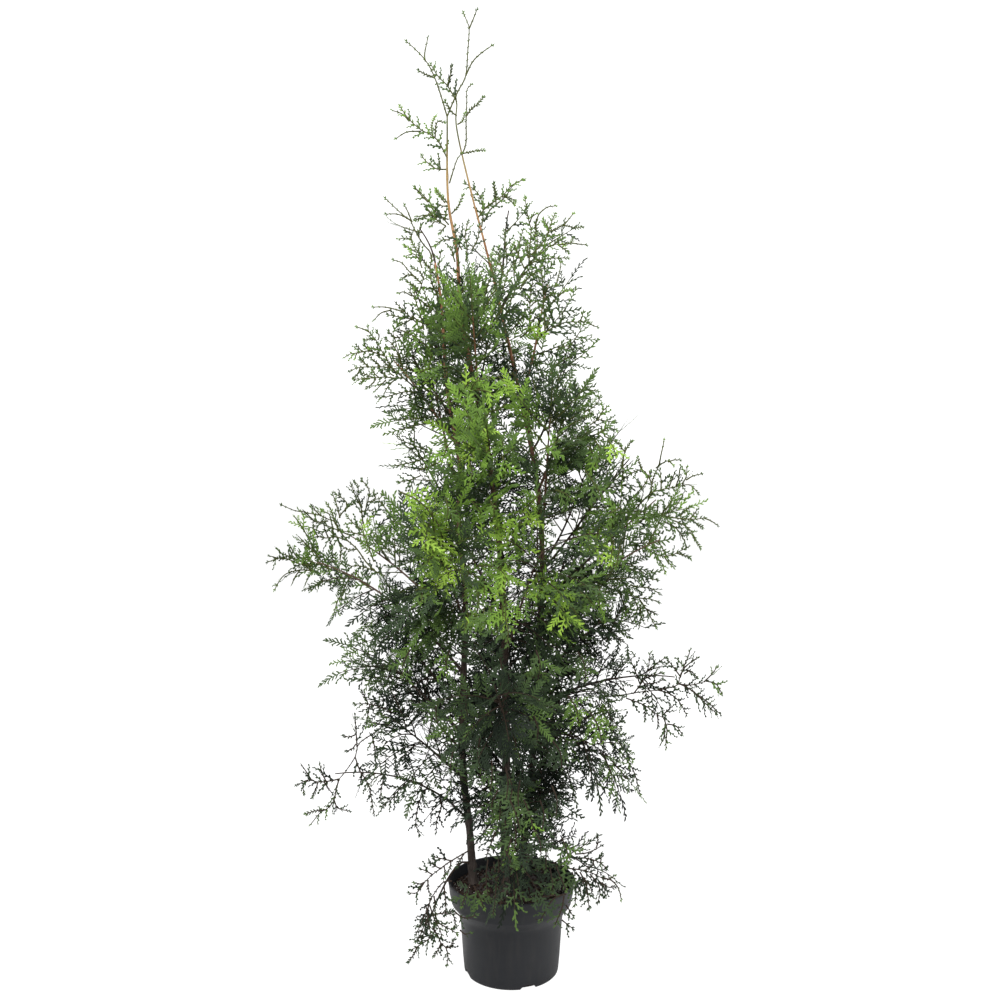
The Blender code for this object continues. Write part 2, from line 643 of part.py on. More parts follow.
def main():
    clear_scene()
    plant = bpy.data.collections.new("potted_arborvitae")
    bpy.context.scene.collection.children.link(plant)
    plastic, compost, bark, leaves = (material(name, *finish) for name, finish in FINISHES.items())

    make_pot(plant, plastic)
    make_soil(plant, compost)
    helpers = bpy.data.collections.new("cutters")
    bpy.context.scene.collection.children.link(helpers)
    around = {}
    for name in STEMS:
        shade(make_stem(name, plant), bark)
        around[name] = make_stem(name, helpers, swell=GAP)

    everything = {b.name: b for b in (*BOUGHS, *SPRAYS)}
    lines = {name: reach_line(bough) for name, bough in everything.items()}
    limbs = []
    for name in STEMS:
        line = stem_line(name)
        limbs += [(a, b, stem_radius(name, a.z)) for a, b in zip(line, line[1:])]
    for bough in BOUGHS:
        line = stretch(lines[bough.name], 0.0, bough.wood, BOUGH_SEGMENTS)
        limbs += [(a, b, bough_radius(bough)) for a, b in zip(line, line[1:])]
    space = Space(lines, limbs)

    total, grown = 0, []
    for number, (name, bough) in enumerate(everything.items()):
        if bough.wood:
            shade(make_bough(bough, lines[name], plant, around[bough.stem]), bark)
        rng = random.Random(SEED + number)
        shapes = grow(bough, lines[name], space, grown, rng)
        mass = make_mass(bough, lines[name], shapes, plant, around[bough.stem])
        scraps = tidy_mass(mass, leaves)
        size = len(mass.data.polygons)
        total += size
        print(f"{mass.name}: {len(shapes)} sprays, {size} triangles, {scraps} scraps dropped")
    remove_collection(helpers)
    print(f"foliage triangles: {total}")


main()
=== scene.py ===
# %% [markdown]
# # A young arborvitae in its nursery pot
#
# The real plant is a loose western arborvitae, 1.42 m tall. Three thin stems lean together out of a round
# pot, and flat, fern-like sprays of scale leaves stand off their boughs. This notebook dresses the plain
# solids that were packed for it: each solid keeps its place, and a finer piece grown by the same rule stands
# for it.

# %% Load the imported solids
import json
import math
import random
from collections import namedtuple

import bmesh
import bpy
import numpy as np
from mathutils import Matrix, Vector

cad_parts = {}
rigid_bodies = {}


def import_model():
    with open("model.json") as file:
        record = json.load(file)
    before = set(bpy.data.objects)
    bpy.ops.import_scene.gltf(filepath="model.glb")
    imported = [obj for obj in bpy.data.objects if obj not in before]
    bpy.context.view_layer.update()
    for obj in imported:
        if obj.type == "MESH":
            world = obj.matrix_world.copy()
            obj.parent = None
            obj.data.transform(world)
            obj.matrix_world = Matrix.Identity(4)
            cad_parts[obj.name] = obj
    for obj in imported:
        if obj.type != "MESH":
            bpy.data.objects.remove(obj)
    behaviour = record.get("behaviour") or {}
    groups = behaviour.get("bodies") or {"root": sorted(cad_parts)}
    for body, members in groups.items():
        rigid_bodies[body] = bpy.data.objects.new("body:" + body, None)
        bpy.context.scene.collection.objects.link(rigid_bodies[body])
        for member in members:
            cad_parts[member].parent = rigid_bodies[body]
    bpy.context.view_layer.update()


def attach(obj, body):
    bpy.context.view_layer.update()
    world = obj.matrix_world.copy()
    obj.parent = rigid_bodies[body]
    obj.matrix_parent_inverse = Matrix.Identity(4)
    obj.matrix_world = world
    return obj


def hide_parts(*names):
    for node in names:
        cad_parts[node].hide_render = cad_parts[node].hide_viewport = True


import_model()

# %% [markdown]
# ## Where the camera stands
#
# The plant was photographed from 1.6 m away, with the camera a little over half its height and tipped down
# 2.5 degrees. The lens is 38.9 mm long before a 36 mm sensor, so in a picture 1000 pixels wide, a metre seen
# from a metre away is 1080 pixels long. The Standard view keeps a white studio white, where a filmic view
# would turn it grey.

# %% Camera
CAMERA_PLACE = (-0.017, -1.6, 0.778)
CAMERA_PITCH = 2.5
CAMERA_LENS = 38.88
SENSOR = 36.0
PICTURE = 1000

camera_data = bpy.data.cameras.new("camera")
camera_data.lens = CAMERA_LENS
camera_data.sensor_width = SENSOR
camera = bpy.data.objects.new("camera", camera_data)
camera.location = CAMERA_PLACE
camera.rotation_euler = (math.radians(90 - CAMERA_PITCH), 0, 0)
bpy.context.scene.collection.objects.link(camera)
bpy.context.scene.camera = camera
bpy.context.scene.view_settings.view_transform = "Standard"

# %% [markdown]
# ## Small helpers
#
# Every piece is a plain mesh at the origin with its place in its points. One helper puts a mesh in the scene,
# one makes it ride on the only body and says which solids it stands for, and two build materials.

# %% Piece helpers
studio = bpy.data.collections.new("dressed_plant")
bpy.context.scene.collection.children.link(studio)


def put(name, mesh, *materials):
    """An object of this mesh in the scene, with its materials."""
    piece = bpy.data.objects.new(name, mesh)
    studio.objects.link(piece)
    for one in materials:
        mesh.materials.append(one)
    return piece


def settle(piece, finish, *nodes):
    """The piece rides on the part's body and stands for these solids, which it hides. Its finish is not used.
    """
    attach(piece, "root")
    if nodes:
        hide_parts(*nodes)
    return piece


def tube_faces(rows, count):
    """The quads between the rings of a tube, which has count points on each ring."""
    a = np.arange(count)
    b = (a + 1) % count
    first = np.arange(rows - 1)[:, None] * count
    return np.stack([first + a, first + b, first + count + b, first + count + a], axis=2).reshape(-1, 4)


def within(value, low, high):
    """The value, kept from low to high."""
    return min(max(value, low), high)


def plain_mesh(obj, name):
    """The object's mesh with its modifiers applied, as a mesh of its own."""
    bpy.context.view_layer.update()
    graph = bpy.context.evaluated_depsgraph_get()
    mesh = bpy.data.meshes.new_from_object(obj.evaluated_get(graph))
    mesh.name = name
    return mesh


# %% Material helpers
def finish(name, colour, roughness, specular):
    """A Principled BSDF material with plain values."""
    made = bpy.data.materials.new(name)
    made.use_nodes = True
    shader = made.node_tree.nodes["Principled BSDF"]
    shader.inputs["Base Color"].default_value = (*colour, 1.0)
    shader.inputs["Roughness"].default_value = roughness
    shader.inputs["Specular IOR Level"].default_value = specular
    return made


class Recipe:
    """Adds texture nodes to a finish, all of them on the piece's own Object coordinates."""

    def __init__(self, material):
        self.tree = material.node_tree
        self.shader = self.tree.nodes["Principled BSDF"]
        self.place = self.tree.nodes.new("ShaderNodeTexCoord").outputs["Object"]

    def stretched(self, scale):
        """The piece's coordinates with each axis scaled, for grain that runs one way."""
        node = self.tree.nodes.new("ShaderNodeMapping")
        node.inputs["Scale"].default_value = scale
        self.tree.links.new(self.place, node.inputs["Vector"])
        return node.outputs["Vector"]

    def noise(self, scale, detail, rough, place=None):
        """Clouds of values from 0 to 1."""
        node = self.tree.nodes.new("ShaderNodeTexNoise")
        node.inputs["Scale"].default_value = scale
        node.inputs["Detail"].default_value = detail
        node.inputs["Roughness"].default_value = rough
        self.tree.links.new(place or self.place, node.inputs["Vector"])
        return node.outputs["Fac"]

    def height(self, low, high):
        """A value that runs from 0 to 1 between two heights of the piece."""
        apart = self.tree.nodes.new("ShaderNodeSeparateXYZ")
        self.tree.links.new(self.place, apart.inputs["Vector"])
        node = self.tree.nodes.new("ShaderNodeMapRange")
        node.inputs["From Min"].default_value = low
        node.inputs["From Max"].default_value = high
        self.tree.links.new(apart.outputs["Z"], node.inputs["Value"])
        return node.outputs["Result"]

    def ramp(self, value, *stops):
        """Colours at these places on a value."""
        node = self.tree.nodes.new("ShaderNodeValToRGB")
        while len(node.color_ramp.elements) < len(stops):
            node.color_ramp.elements.new(0.5)
        for element, (at, colour) in zip(node.color_ramp.elements, stops):
            element.position = at
            element.color = (*colour, 1.0)
        self.tree.links.new(value, node.inputs["Fac"])
        return node.outputs["Color"]

    def mixed(self, share, first, second, blend="MIX"):
        """Two colours mixed by a value or by a plain number."""
        node = self.tree.nodes.new("ShaderNodeMix")
        node.data_type = "RGBA"
        node.blend_type = blend
        for label, value in (("Factor", share), ("A", first), ("B", second)):
            if isinstance(value, float):
                node.inputs[label].default_value = value
            else:
                self.tree.links.new(value, node.inputs[label])
        return node.outputs["Result"]

    def ranged(self, value, low, high):
        """A value from 0 to 1 moved to run from low to high."""
        node = self.tree.nodes.new("ShaderNodeMapRange")
        node.inputs["To Min"].default_value = low
        node.inputs["To Max"].default_value = high
        self.tree.links.new(value, node.inputs["Value"])
        return node.outputs["Result"]

    def give(self, value, socket):
        """The value drives one of the shader's sockets."""
        self.tree.links.new(value, self.shader.inputs[socket])

    def bump(self, value, strength, distance):
        """The value raises fine relief, up to a distance in metres."""
        node = self.tree.nodes.new("ShaderNodeBump")
        node.inputs["Strength"].default_value = strength
        node.inputs["Distance"].default_value = distance
        self.tree.links.new(value, node.inputs["Height"])
        self.tree.links.new(node.outputs["Normal"], self.shader.inputs["Normal"])


# %% [markdown]
# ## The pot
#
# A nursery pot is a thin moulded shell of recycled plastic, so it is a body of revolution. Its profile is
# drawn once, from the inside of the floor up the wall, over the lip and down the outside, and the Screw
# modifier turns it. The wide collar lets pots stack. Its soft bead and the groove below it catch the light,
# so they are in the mesh. The four drain notches are cut through the bottom edge with one Boolean.

# %% Sizes of the pot
RIM_RADIUS = 0.095
POT_HEIGHT = 0.138
FLOOR = 0.003
POT_STEPS = 144
POT_CREASE = math.radians(32)
OUTSIDE = (
    (0.0950, 0.1366), (0.0947, 0.1340), (0.0938, 0.1275), (0.0931, 0.1225), (0.0930, 0.1200),
    (0.0925, 0.1178), (0.0914, 0.1130), (0.0906, 0.1085), (0.0902, 0.1062), (0.0893, 0.1044),
    (0.0826, 0.0962), (0.0795, 0.0915), (0.0782, 0.0885), (0.0772, 0.0840), (0.0762, 0.0760),
    (0.0745, 0.0500), (0.0728, 0.0250), (0.0712, 0.0075), (0.0708, 0.0042), (0.0702, 0.0022),
    (0.0690, 0.0008), (0.0672, 0.0000),
)
INSIDE = ((0.0686, FLOOR), (0.0742, 0.0915), (0.0883, 0.1062), (0.0928, 0.1366))
LIP = ((0.0932, 0.1375), (0.0939, 0.1380), (0.0946, 0.1376))
NOTCH_ANGLES = (-69.5, 20.5, 110.5, 200.5)
NOTCH_SIZE = (0.022, 0.025, 0.015)
NOTCH_AT = 0.0708
NOTCH_SIDES = 40
WELD = 0.00002

# %% Turn the pot and cut its notches
def turned(name, profile, steps):
    """A mesh of revolution: the profile runs from the axis out and back to it."""
    line = bpy.data.meshes.new(name)
    line.from_pydata([(r, 0.0, z) for r, z in profile], [(i, i + 1) for i in range(len(profile) - 1)], [])
    obj = put(f"{name}_profile", line)
    screw = obj.modifiers.new("turn", "SCREW")
    screw.steps = screw.render_steps = steps
    screw.use_merge_vertices = True
    screw.merge_threshold = WELD
    mesh = plain_mesh(obj, name)
    bpy.data.objects.remove(obj)
    shape = bmesh.new()
    shape.from_mesh(mesh)
    bmesh.ops.recalc_face_normals(shape, faces=shape.faces)
    shape.to_mesh(mesh)
    shape.free()
    return mesh


POT_PROFILE = ((0.0, FLOOR), *INSIDE, *LIP, *OUTSIDE, (0.0, 0.0))
pot = put("nursery_pot", turned("nursery_pot", POT_PROFILE, POT_STEPS))
notches = bpy.data.collections.new("notches")
bpy.context.scene.collection.children.link(notches)
for angle in NOTCH_ANGLES:
    shape = bmesh.new()
    bmesh.ops.create_cone(shape, cap_ends=True, segments=NOTCH_SIDES, radius1=0.5, radius2=0.5, depth=1.0)
    mesh = bpy.data.meshes.new("notch")
    shape.to_mesh(mesh)
    shape.free()
    place = Matrix.Rotation(math.radians(angle), 4, "Z") @ Matrix.Translation((NOTCH_AT, 0, 0))
    mesh.transform(place @ Matrix.Diagonal((*NOTCH_SIZE, 1)) @ Matrix.Rotation(math.radians(90), 4, "Y"))
    notches.objects.link(bpy.data.objects.new("notch", mesh))
cut = pot.modifiers.new("notches", "BOOLEAN")
cut.operand_type = "COLLECTION"
cut.collection = notches
cut.solver = "EXACT"
pot.data = plain_mesh(pot, "nursery_pot")
pot.modifiers.clear()
for obj in list(notches.objects):
    bpy.data.objects.remove(obj)
bpy.data.collections.remove(notches)
pot.data.shade_smooth()
pot.data.set_sharp_from_angle(angle=POT_CREASE)
print("pot:", len(pot.data.polygons), "faces")

# %% [markdown]
# Recycled charcoal plastic is satin rather than glossy. It has a fine moulded grain, faint streaks down its
# wall and a film of pale dust and dried compost along the streaks.

# %% Finish of the pot
charcoal = finish("charcoal_plastic", (0.010, 0.011, 0.013), 0.42, 0.25)
recipe = Recipe(charcoal)
cloud = recipe.noise(9.0, 5.0, 0.6)
streak = recipe.noise(30.0, 3.0, 0.5, recipe.stretched((3.0, 3.0, 0.35)))
tone = recipe.ramp(cloud, (0.30, (0.006, 0.007, 0.009)), (0.72, (0.015, 0.016, 0.019)))
dust = recipe.ramp(streak, (0.50, (0.0, 0.0, 0.0)), (0.80, (0.12, 0.12, 0.12)))
brown = recipe.ramp(streak, (0.0, (0.060, 0.050, 0.040)), (1.0, (0.075, 0.064, 0.050)))
recipe.give(recipe.mixed(dust, tone, brown), "Base Color")
recipe.give(recipe.ranged(cloud, 0.36, 0.58), "Roughness")
recipe.bump(recipe.noise(1400.0, 2.0, 0.5), 0.18, 0.0004)
pot.data.materials.append(charcoal)
settle(pot, "pot", "pot")

# %% [markdown]
# ## The compost
#
# Compost is a crumbly heap, so its top is a polar grid lifted by layers of smooth noise, which closes
# underneath in a plain drum. Crumbs, bark chips and white perlite are a few dozen faces at most, scattered by
# Geometry Nodes over the top, because a real crumb catches light on its own edges.

# %% Sizes of the compost
SOIL_LEVEL = 0.124
SOIL_RADIUS = 0.0905
SOIL_WALL = ((0.0866, 0.1062), (0.0738, 0.0915), (0.0680, 0.0034))
SOIL_RINGS = 46
SOIL_SPOKES = 150
SOIL_ROUGHNESS = 0.0022
SOIL_SEED = 3
EDGE_WIDTH = 0.010
EDGE_DROP = 0.004
HEAP = 0.004
HEAP_PLACE = (-0.02, 0.01)
HEAP_SPREAD = 0.0016
NOISE_WAVES = 14
NOISE_PITCHES = (60, 420)
NOISE_FALL = 0.6


def smooth_noise(x, y, seed):
    """A gentle bumpy field: a sum of seeded waves, and the longest are the highest."""
    dice = np.random.default_rng(seed)
    total = np.zeros_like(x)
    for _ in range(NOISE_WAVES):
        angle = dice.uniform(0, 2 * math.pi)
        pitch = dice.uniform(*NOISE_PITCHES)
        phase = dice.uniform(0, 2 * math.pi)
        wave = np.sin((x * math.cos(angle) + y * math.sin(angle)) * pitch + phase)
        total += wave * (NOISE_PITCHES[0] / pitch) ** NOISE_FALL
    return total / math.sqrt(NOISE_WAVES)


# %% Heap the compost
ring = np.linspace(0.0, 1.0, SOIL_RINGS + 1)[1:]
spoke = np.arange(SOIL_SPOKES) * 2 * math.pi / SOIL_SPOKES
radius, angle = np.meshgrid(SOIL_RADIUS * ring, spoke, indexing="ij")
x, y = radius * np.cos(angle), radius * np.sin(angle)
edge = np.clip((SOIL_RADIUS - radius) / EDGE_WIDTH, 0, 1)
z = SOIL_LEVEL - EDGE_DROP * (1 - edge) + edge * SOIL_ROUGHNESS * smooth_noise(x, y, SOIL_SEED)
z += edge * HEAP * np.exp(-((x - HEAP_PLACE[0]) ** 2 + (y - HEAP_PLACE[1]) ** 2) / HEAP_SPREAD)
top = np.stack([x, y, z], axis=2).reshape(-1, 3)
drum = [(math.cos(a) * r, math.sin(a) * r, h) for r, h in SOIL_WALL for a in spoke]
points = np.vstack([top, drum, [(0.0, 0.0, SOIL_LEVEL + HEAP), (0.0, 0.0, SOIL_WALL[-1][1])]])

rows = SOIL_RINGS + len(SOIL_WALL)
crown, base, last = len(points) - 2, len(points) - 1, (rows - 1) * SOIL_SPOKES
around = [(i, (i + 1) % SOIL_SPOKES) for i in range(SOIL_SPOKES)]
faces = tube_faces(rows, SOIL_SPOKES)[:, [0, 3, 2, 1]].tolist()
faces += [(crown, i, j) for i, j in around]
faces += [(base, last + j, last + i) for i, j in around]
mesh = bpy.data.meshes.new("compost")
mesh.from_pydata(points.tolist(), [], faces)
mesh.shade_smooth()
compost = put("compost", mesh)
print("compost:", len(mesh.polygons), "faces")

# %% [markdown]
# The heap reads as damp and crumbly from two layers of noise: broad moisture and fine crumbs. Its colours are
# near black: partly damp peat, and partly painted shade from the crown over the pot.

# %% Finish of the compost
peat = finish("damp_peat", (0.030, 0.019, 0.013), 0.92, 0.3)
recipe = Recipe(peat)
crumb = recipe.noise(260.0, 6.0, 0.7)
damp = recipe.noise(24.0, 3.0, 0.5)
# Near black peat: damp, and darkened further as painted shade.
dark = recipe.ramp(crumb, (0.32, (0.003, 0.002, 0.002)), (0.70, (0.015, 0.010, 0.008)))
red = recipe.ramp(crumb, (0.32, (0.006, 0.004, 0.003)), (0.70, (0.030, 0.015, 0.011)))
recipe.give(recipe.mixed(damp, dark, red), "Base Color")
recipe.give(recipe.ranged(damp, 0.75, 0.98), "Roughness")
recipe.bump(crumb, 0.9, 0.0012)
compost.data.materials.append(peat)
settle(compost, "compost", "soil")


# %% [markdown]
# ## Geometry Nodes in a few words
#
# A node tree is built once and used by many pieces. The helper below adds nodes and joins them by socket
# name, so that a tree reads from its input to its output. A modifier's inputs are set by socket identifier
# before the first evaluation, and each tree ends with its instances made real, because only real faces are
# exported.

# %% Node helpers
class Tree:
    """A Geometry Nodes tree under construction."""

    def __init__(self, name, **inputs):
        self.group = bpy.data.node_groups.new(name, "GeometryNodeTree")
        face = self.group.interface
        face.new_socket("Geometry", in_out="INPUT", socket_type="NodeSocketGeometry")
        face.new_socket("Geometry", in_out="OUTPUT", socket_type="NodeSocketGeometry")
        for label, kind in inputs.items():
            face.new_socket(label, in_out="INPUT", socket_type=f"NodeSocket{kind}")
        self.start = self.group.nodes.new("NodeGroupInput")
        self.end = self.group.nodes.new("NodeGroupOutput")

    def add(self, kind, settings=None, output=None, **inputs):
        """A node with its settings, and its inputs joined to sockets or set to values."""
        node = self.group.nodes.new(kind)
        for key, value in (settings or {}).items():
            setattr(node, key, value)
        for label, value in inputs.items():
            socket = next(s for s in node.inputs if s.name == label.replace("_", " ") and s.enabled)
            if isinstance(value, bpy.types.NodeSocket):
                self.group.links.new(value, socket)
            else:
                socket.default_value = value
        return next(s for s in node.outputs if s.enabled and output in (None, s.name))

    def attribute(self, name, kind="FLOAT"):
        """The socket of an attribute that the points carry."""
        return self.add("GeometryNodeInputNamedAttribute", {"data_type": kind}, Name=name)

    def finish(self, geometry):
        """The geometry is what the tree makes."""
        self.group.links.new(geometry, self.end.inputs[0])


def worked(name, obj, tree, **inputs):
    """What a tree makes of an object, as a plain mesh in a new piece. The object is used up."""
    modifier = obj.modifiers.new("nodes", "NODES")
    modifier.node_group = tree.group
    for item in tree.group.interface.items_tree:
        if item.in_out == "INPUT" and item.name in inputs:
            modifier[item.identifier] = inputs[item.name]
    mesh = plain_mesh(obj, name)
    bpy.data.objects.remove(obj)
    return put(name, mesh)


# %% [markdown]
# The crumbs' finishes are plain: near black peat, brown bark chips and white perlite. All three kinds are
# laid from one lumpy ball, made small.

# %% Scatter crumbs over the compost
Crumbs = namedtuple("Crumbs", "name finish density smallest largest")
CRUMBS = (
    Crumbs("peat_crumbs", finish("peat_crumb", (0.010, 0.006, 0.005), 0.95, 0.1), 52000.0, 0.0008, 0.0026),
    Crumbs("bark_chips", finish("bark_chip", (0.026, 0.014, 0.009), 0.85, 0.15), 20000.0, 0.0012, 0.0042),
    Crumbs("perlite_grains", finish("perlite", (0.62, 0.60, 0.54), 0.80, 0.4), 2400.0, 0.0007, 0.0019),
)
LUMPS = (0.65, 1.15)
LUMP_FLATNESS = 0.6
LUMP_SEED = 11
SCATTER_SEED = 5
TOP_BAND = 0.008
ANY_TURN = (6.28, 6.28, 6.28)

ball_mesh = bpy.data.meshes.new("ball")
shape = bmesh.new()
bmesh.ops.create_icosphere(shape, subdivisions=1, radius=1.0)
dice = random.Random(LUMP_SEED)
for vert in shape.verts:
    vert.co *= dice.uniform(*LUMPS)
    vert.co.z *= LUMP_FLATNESS
shape.to_mesh(ball_mesh)
shape.free()
ball = bpy.data.objects.new("ball", ball_mesh)

scatter = Tree("scatter_crumbs", Crumb="Object", Density="Float", Smallest="Float", Largest="Float",
               Seed="Int", Finish="Material")
given = scatter.start.outputs
height = scatter.add("ShaderNodeSeparateXYZ", output="Z", Vector=scatter.add("GeometryNodeInputPosition"))
high = scatter.add("FunctionNodeCompare", {"operation": "GREATER_THAN"}, A=height, B=SOIL_LEVEL - TOP_BAND)
spread = scatter.add("GeometryNodeDistributePointsOnFaces", Mesh=given["Geometry"], Selection=high,
                     Density=given["Density"], Seed=given["Seed"])
turn = scatter.add("FunctionNodeRandomValue", {"data_type": "FLOAT_VECTOR"}, Min=(0.0, 0.0, 0.0),
                   Max=ANY_TURN, Seed=given["Seed"])
size = scatter.add("FunctionNodeRandomValue", {"data_type": "FLOAT"}, Min=given["Smallest"],
                   Max=given["Largest"], Seed=given["Seed"])
lump = scatter.add("GeometryNodeObjectInfo", output="Geometry", Object=given["Crumb"])
laid = scatter.add("GeometryNodeInstanceOnPoints", Points=spread, Instance=lump, Rotation=turn, Scale=size)
real = scatter.add("GeometryNodeRealizeInstances", Geometry=laid)
scatter.finish(scatter.add("GeometryNodeSetMaterial", Geometry=real, Material=given["Finish"]))

for number, kind in enumerate(CRUMBS):
    bed = bpy.data.objects.new("bed", compost.data.copy())
    studio.objects.link(bed)
    piece = worked(kind.name, bed, scatter, Crumb=ball, Density=kind.density, Smallest=kind.smallest,
                   Largest=kind.largest, Seed=SCATTER_SEED + number, Finish=kind.finish)
    settle(piece, "compost")
    print(kind.name, len(piece.data.polygons), "faces")
bpy.data.objects.remove(ball)

# %% [markdown]
# ## The plan of the plant
#
# The same few numbers that place the solids are written again here: each stem's points, each bough's height,
# tip and slopes. From them come the centre lines that everything grows along.

# %% Stems and boughs
GAP = 0.0003
Stem = namedtuple("Stem", "foot_radius tip_radius line")
STEMS = {
    "left": Stem(0.0058, 0.0015, (
        (-0.058, 0.012, SOIL_LEVEL + GAP), (-0.058, 0.012, 0.134), (-0.063, 0.010, 0.208),
        (-0.073, 0.003, 0.310), (-0.072, -0.004, 0.425), (-0.068, -0.012, 0.545), (-0.077, -0.022, 0.680),
        (-0.076, -0.030, 0.765), (-0.093, -0.038, 0.870), (-0.101, -0.040, 0.990), (-0.110, -0.036, 1.050))),
    "middle": Stem(0.0068, 0.0015, (
        (-0.010, -0.016, SOIL_LEVEL + GAP), (-0.010, -0.016, 0.134), (-0.008, -0.010, 0.350),
        (-0.013, 0.000, 0.559), (-0.025, 0.006, 0.708), (-0.050, 0.010, 0.856), (-0.074, 0.006, 0.975),
        (-0.080, 0.002, 1.070), (-0.093, -0.001, 1.150), (-0.094, -0.002, 1.269))),
    "right": Stem(0.0050, 0.0015, (
        (0.016, 0.052, SOIL_LEVEL + GAP), (0.016, 0.052, 0.134), (0.033, 0.048, 0.304), (0.042, 0.038, 0.493),
        (0.047, 0.026, 0.620), (0.036, 0.018, 0.750), (-0.002, 0.014, 0.931), (-0.032, 0.016, 1.058),
        (-0.060, 0.012, 1.164), (-0.080, 0.003, 1.250), (-0.080, 0.000, 1.287))),
}
Bough = namedtuple("Bough", "name stem height tip rise end_slope wood spread")
BOUGHS = (
    Bough("upper_right_high", "right", 0.860, (0.096, 0.020, 1.105), 66, 45, 0.22, 0.085),
    Bough("upper_front", "middle", 0.830, (-0.060, -0.130, 1.050), 50, 60, 0.24, 0.090),
    Bough("upper_left", "left", 0.790, (-0.236, -0.020, 0.955), 52, 20, 0.22, 0.075),
    Bough("upper_right", "right", 0.720, (0.115, -0.030, 0.890), 60, 35, 0.20, 0.085),
    Bough("upper_front_right", "right", 0.650, (0.055, -0.170, 0.900), 45, 40, 0.24, 0.095),
    Bough("upper_back_left", "left", 0.720, (-0.150, 0.140, 0.990), 50, 50, 0.24, 0.095),
    Bough("front", "middle", 0.600, (-0.040, -0.215, 0.850), 42, 25, 0.24, 0.095),
    Bough("shoulder_left_high", "left", 0.500, (-0.330, 0.030, 0.690), 52, 16, 0.28, 0.090),
    Bough("shoulder_left", "left", 0.450, (-0.362, -0.060, 0.630), 52, -4, 0.30, 0.080),
    Bough("shoulder_right_high", "right", 0.550, (0.286, 0.030, 0.765), 42, 40, 0.30, 0.085),
    Bough("shoulder_right", "right", 0.500, (0.296, -0.060, 0.672), 50, 4, 0.26, 0.085),
    Bough("middle_front_left", "left", 0.520, (-0.125, -0.235, 0.700), 42, 5, 0.20, 0.100),
    Bough("middle_front_right", "middle", 0.475, (0.075, -0.250, 0.675), 48, -8, 0.20, 0.105),
    Bough("middle_back_left", "middle", 0.530, (-0.150, 0.248, 0.735), 40, 25, 0.20, 0.105),
    Bough("middle_back_right", "right", 0.510, (0.155, 0.243, 0.715), 40, 15, 0.20, 0.105),
    Bough("lower_left", "left", 0.360, (-0.275, 0.000, 0.505), 40, 5, 0.20, 0.095),
    Bough("lower_left_low", "left", 0.290, (-0.243, -0.050, 0.395), 40, -15, 0.18, 0.090),
    Bough("long_right", "right", 0.390, (0.320, 0.000, 0.420), 28, -26, 0.34, 0.075),
    Bough("lower_right", "right", 0.430, (0.225, -0.020, 0.560), 40, -5, 0.20, 0.085),
    Bough("lower_front", "middle", 0.350, (-0.030, -0.240, 0.465), 42, -12, 0.20, 0.105),
    Bough("lower_back", "middle", 0.350, (0.010, 0.252, 0.475), 42, 0, 0.20, 0.105),
)

# %% Masses that spring straight from a stem. A height of None continues the stem's tip.
SPRIGS = (
    Bough("leader_left", "middle", None, (-0.150, 0.002, 1.373), 85, 38, 0.0, 0.028),
    Bough("leader_right", "right", None, (-0.059, 0.000, 1.420), 75, 92, 0.0, 0.028),
    Bough("sprig_left", "middle", 1.180, (-0.170, -0.012, 1.270), 50, 38, 0.0, 0.032),
    Bough("sprig_right", "right", 1.010, (0.014, -0.010, 1.174), 70, 45, 0.0, 0.045),
    Bough("stem_left_top", "left", None, (-0.172, -0.020, 1.146), 80, 48, 0.0, 0.058),
    Bough("upper_back", "middle", 0.860, (-0.015, 0.150, 1.085), 50, 55, 0.0, 0.090),
    Bough("right_high", "right", 0.610, (0.165, 0.060, 0.835), 50, 45, 0.0, 0.090),
    Bough("long_left_low", "left", 0.220, (-0.324, 0.040, 0.272), 52, -22, 0.0, 0.055),
    Bough("lower_right_low", "right", 0.330, (0.196, -0.040, 0.270), 45, -62, 0.0, 0.085),
    Bough("base_front", "middle", 0.270, (0.004, -0.155, 0.128), 48, -72, 0.0, 0.075),
    Bough("base_back", "middle", 0.220, (0.062, 0.150, 0.262), 52, -18, 0.0, 0.085),
    Bough("pot_left", "left", 0.150, (-0.139, -0.040, 0.022), 62, -80, 0.0, 0.045),
    Bough("pot_right", "right", 0.155, (0.157, -0.030, 0.112), 55, -58, 0.0, 0.060),
)
masses = {mass.name: mass for mass in (*BOUGHS, *SPRIGS)}

# %% [markdown]
# A centre line is an array of points, evenly spaced. A stem's runs smoothly through its own points, and a
# bough's is one arch that leaves the stem at one slope and reaches its tip at another.

# %% Centre lines
REACH_HANDLES = (0.36, 0.34)
REACH_SAMPLES = 32
STEM_SAMPLES = 600
CURVE_SAMPLES = 12
STEM_TAPER = 0.85
FLARE, FLARE_HEIGHT = 0.55, 0.010
BOUGH_SHARE = 0.52
THINNEST_BOUGH = 0.0023
TINY = 1e-9


def spread_evenly(line, count):
    """count + 1 points at even steps along a line."""
    along_it = np.concatenate([[0.0], np.cumsum(np.linalg.norm(np.diff(line, axis=0), axis=1))])
    wanted = np.linspace(0.0, along_it[-1], count + 1)
    return np.column_stack([np.interp(wanted, along_it, line[:, k]) for k in range(3)])


def smooth_line(points, count):
    """An even line on a smooth curve through the given points."""
    p = np.array(points, float)
    p = np.vstack([2 * p[0] - p[1], p, 2 * p[-1] - p[-2]])
    t = np.linspace(0.0, 1.0, CURVE_SAMPLES, endpoint=False)[:, None]
    spans = [0.5 * (2 * b + t * (c - a) + t**2 * (2 * a - 5 * b + 4 * c - d) + t**3 * (3 * b - a - 3 * c + d))
             for a, b, c, d in zip(p, p[1:], p[2:], p[3:])]
    return spread_evenly(np.vstack([*spans, p[-2:-1]]), count)


def at_share(line, share):
    """The point at a share of an even line, and the direction there."""
    at = within(share, 0.0, 1.0) * (len(line) - 1)
    k = min(int(at), len(line) - 2)
    way = line[k + 1] - line[k]
    return line[k] + (at - k) * way, way / np.linalg.norm(way)


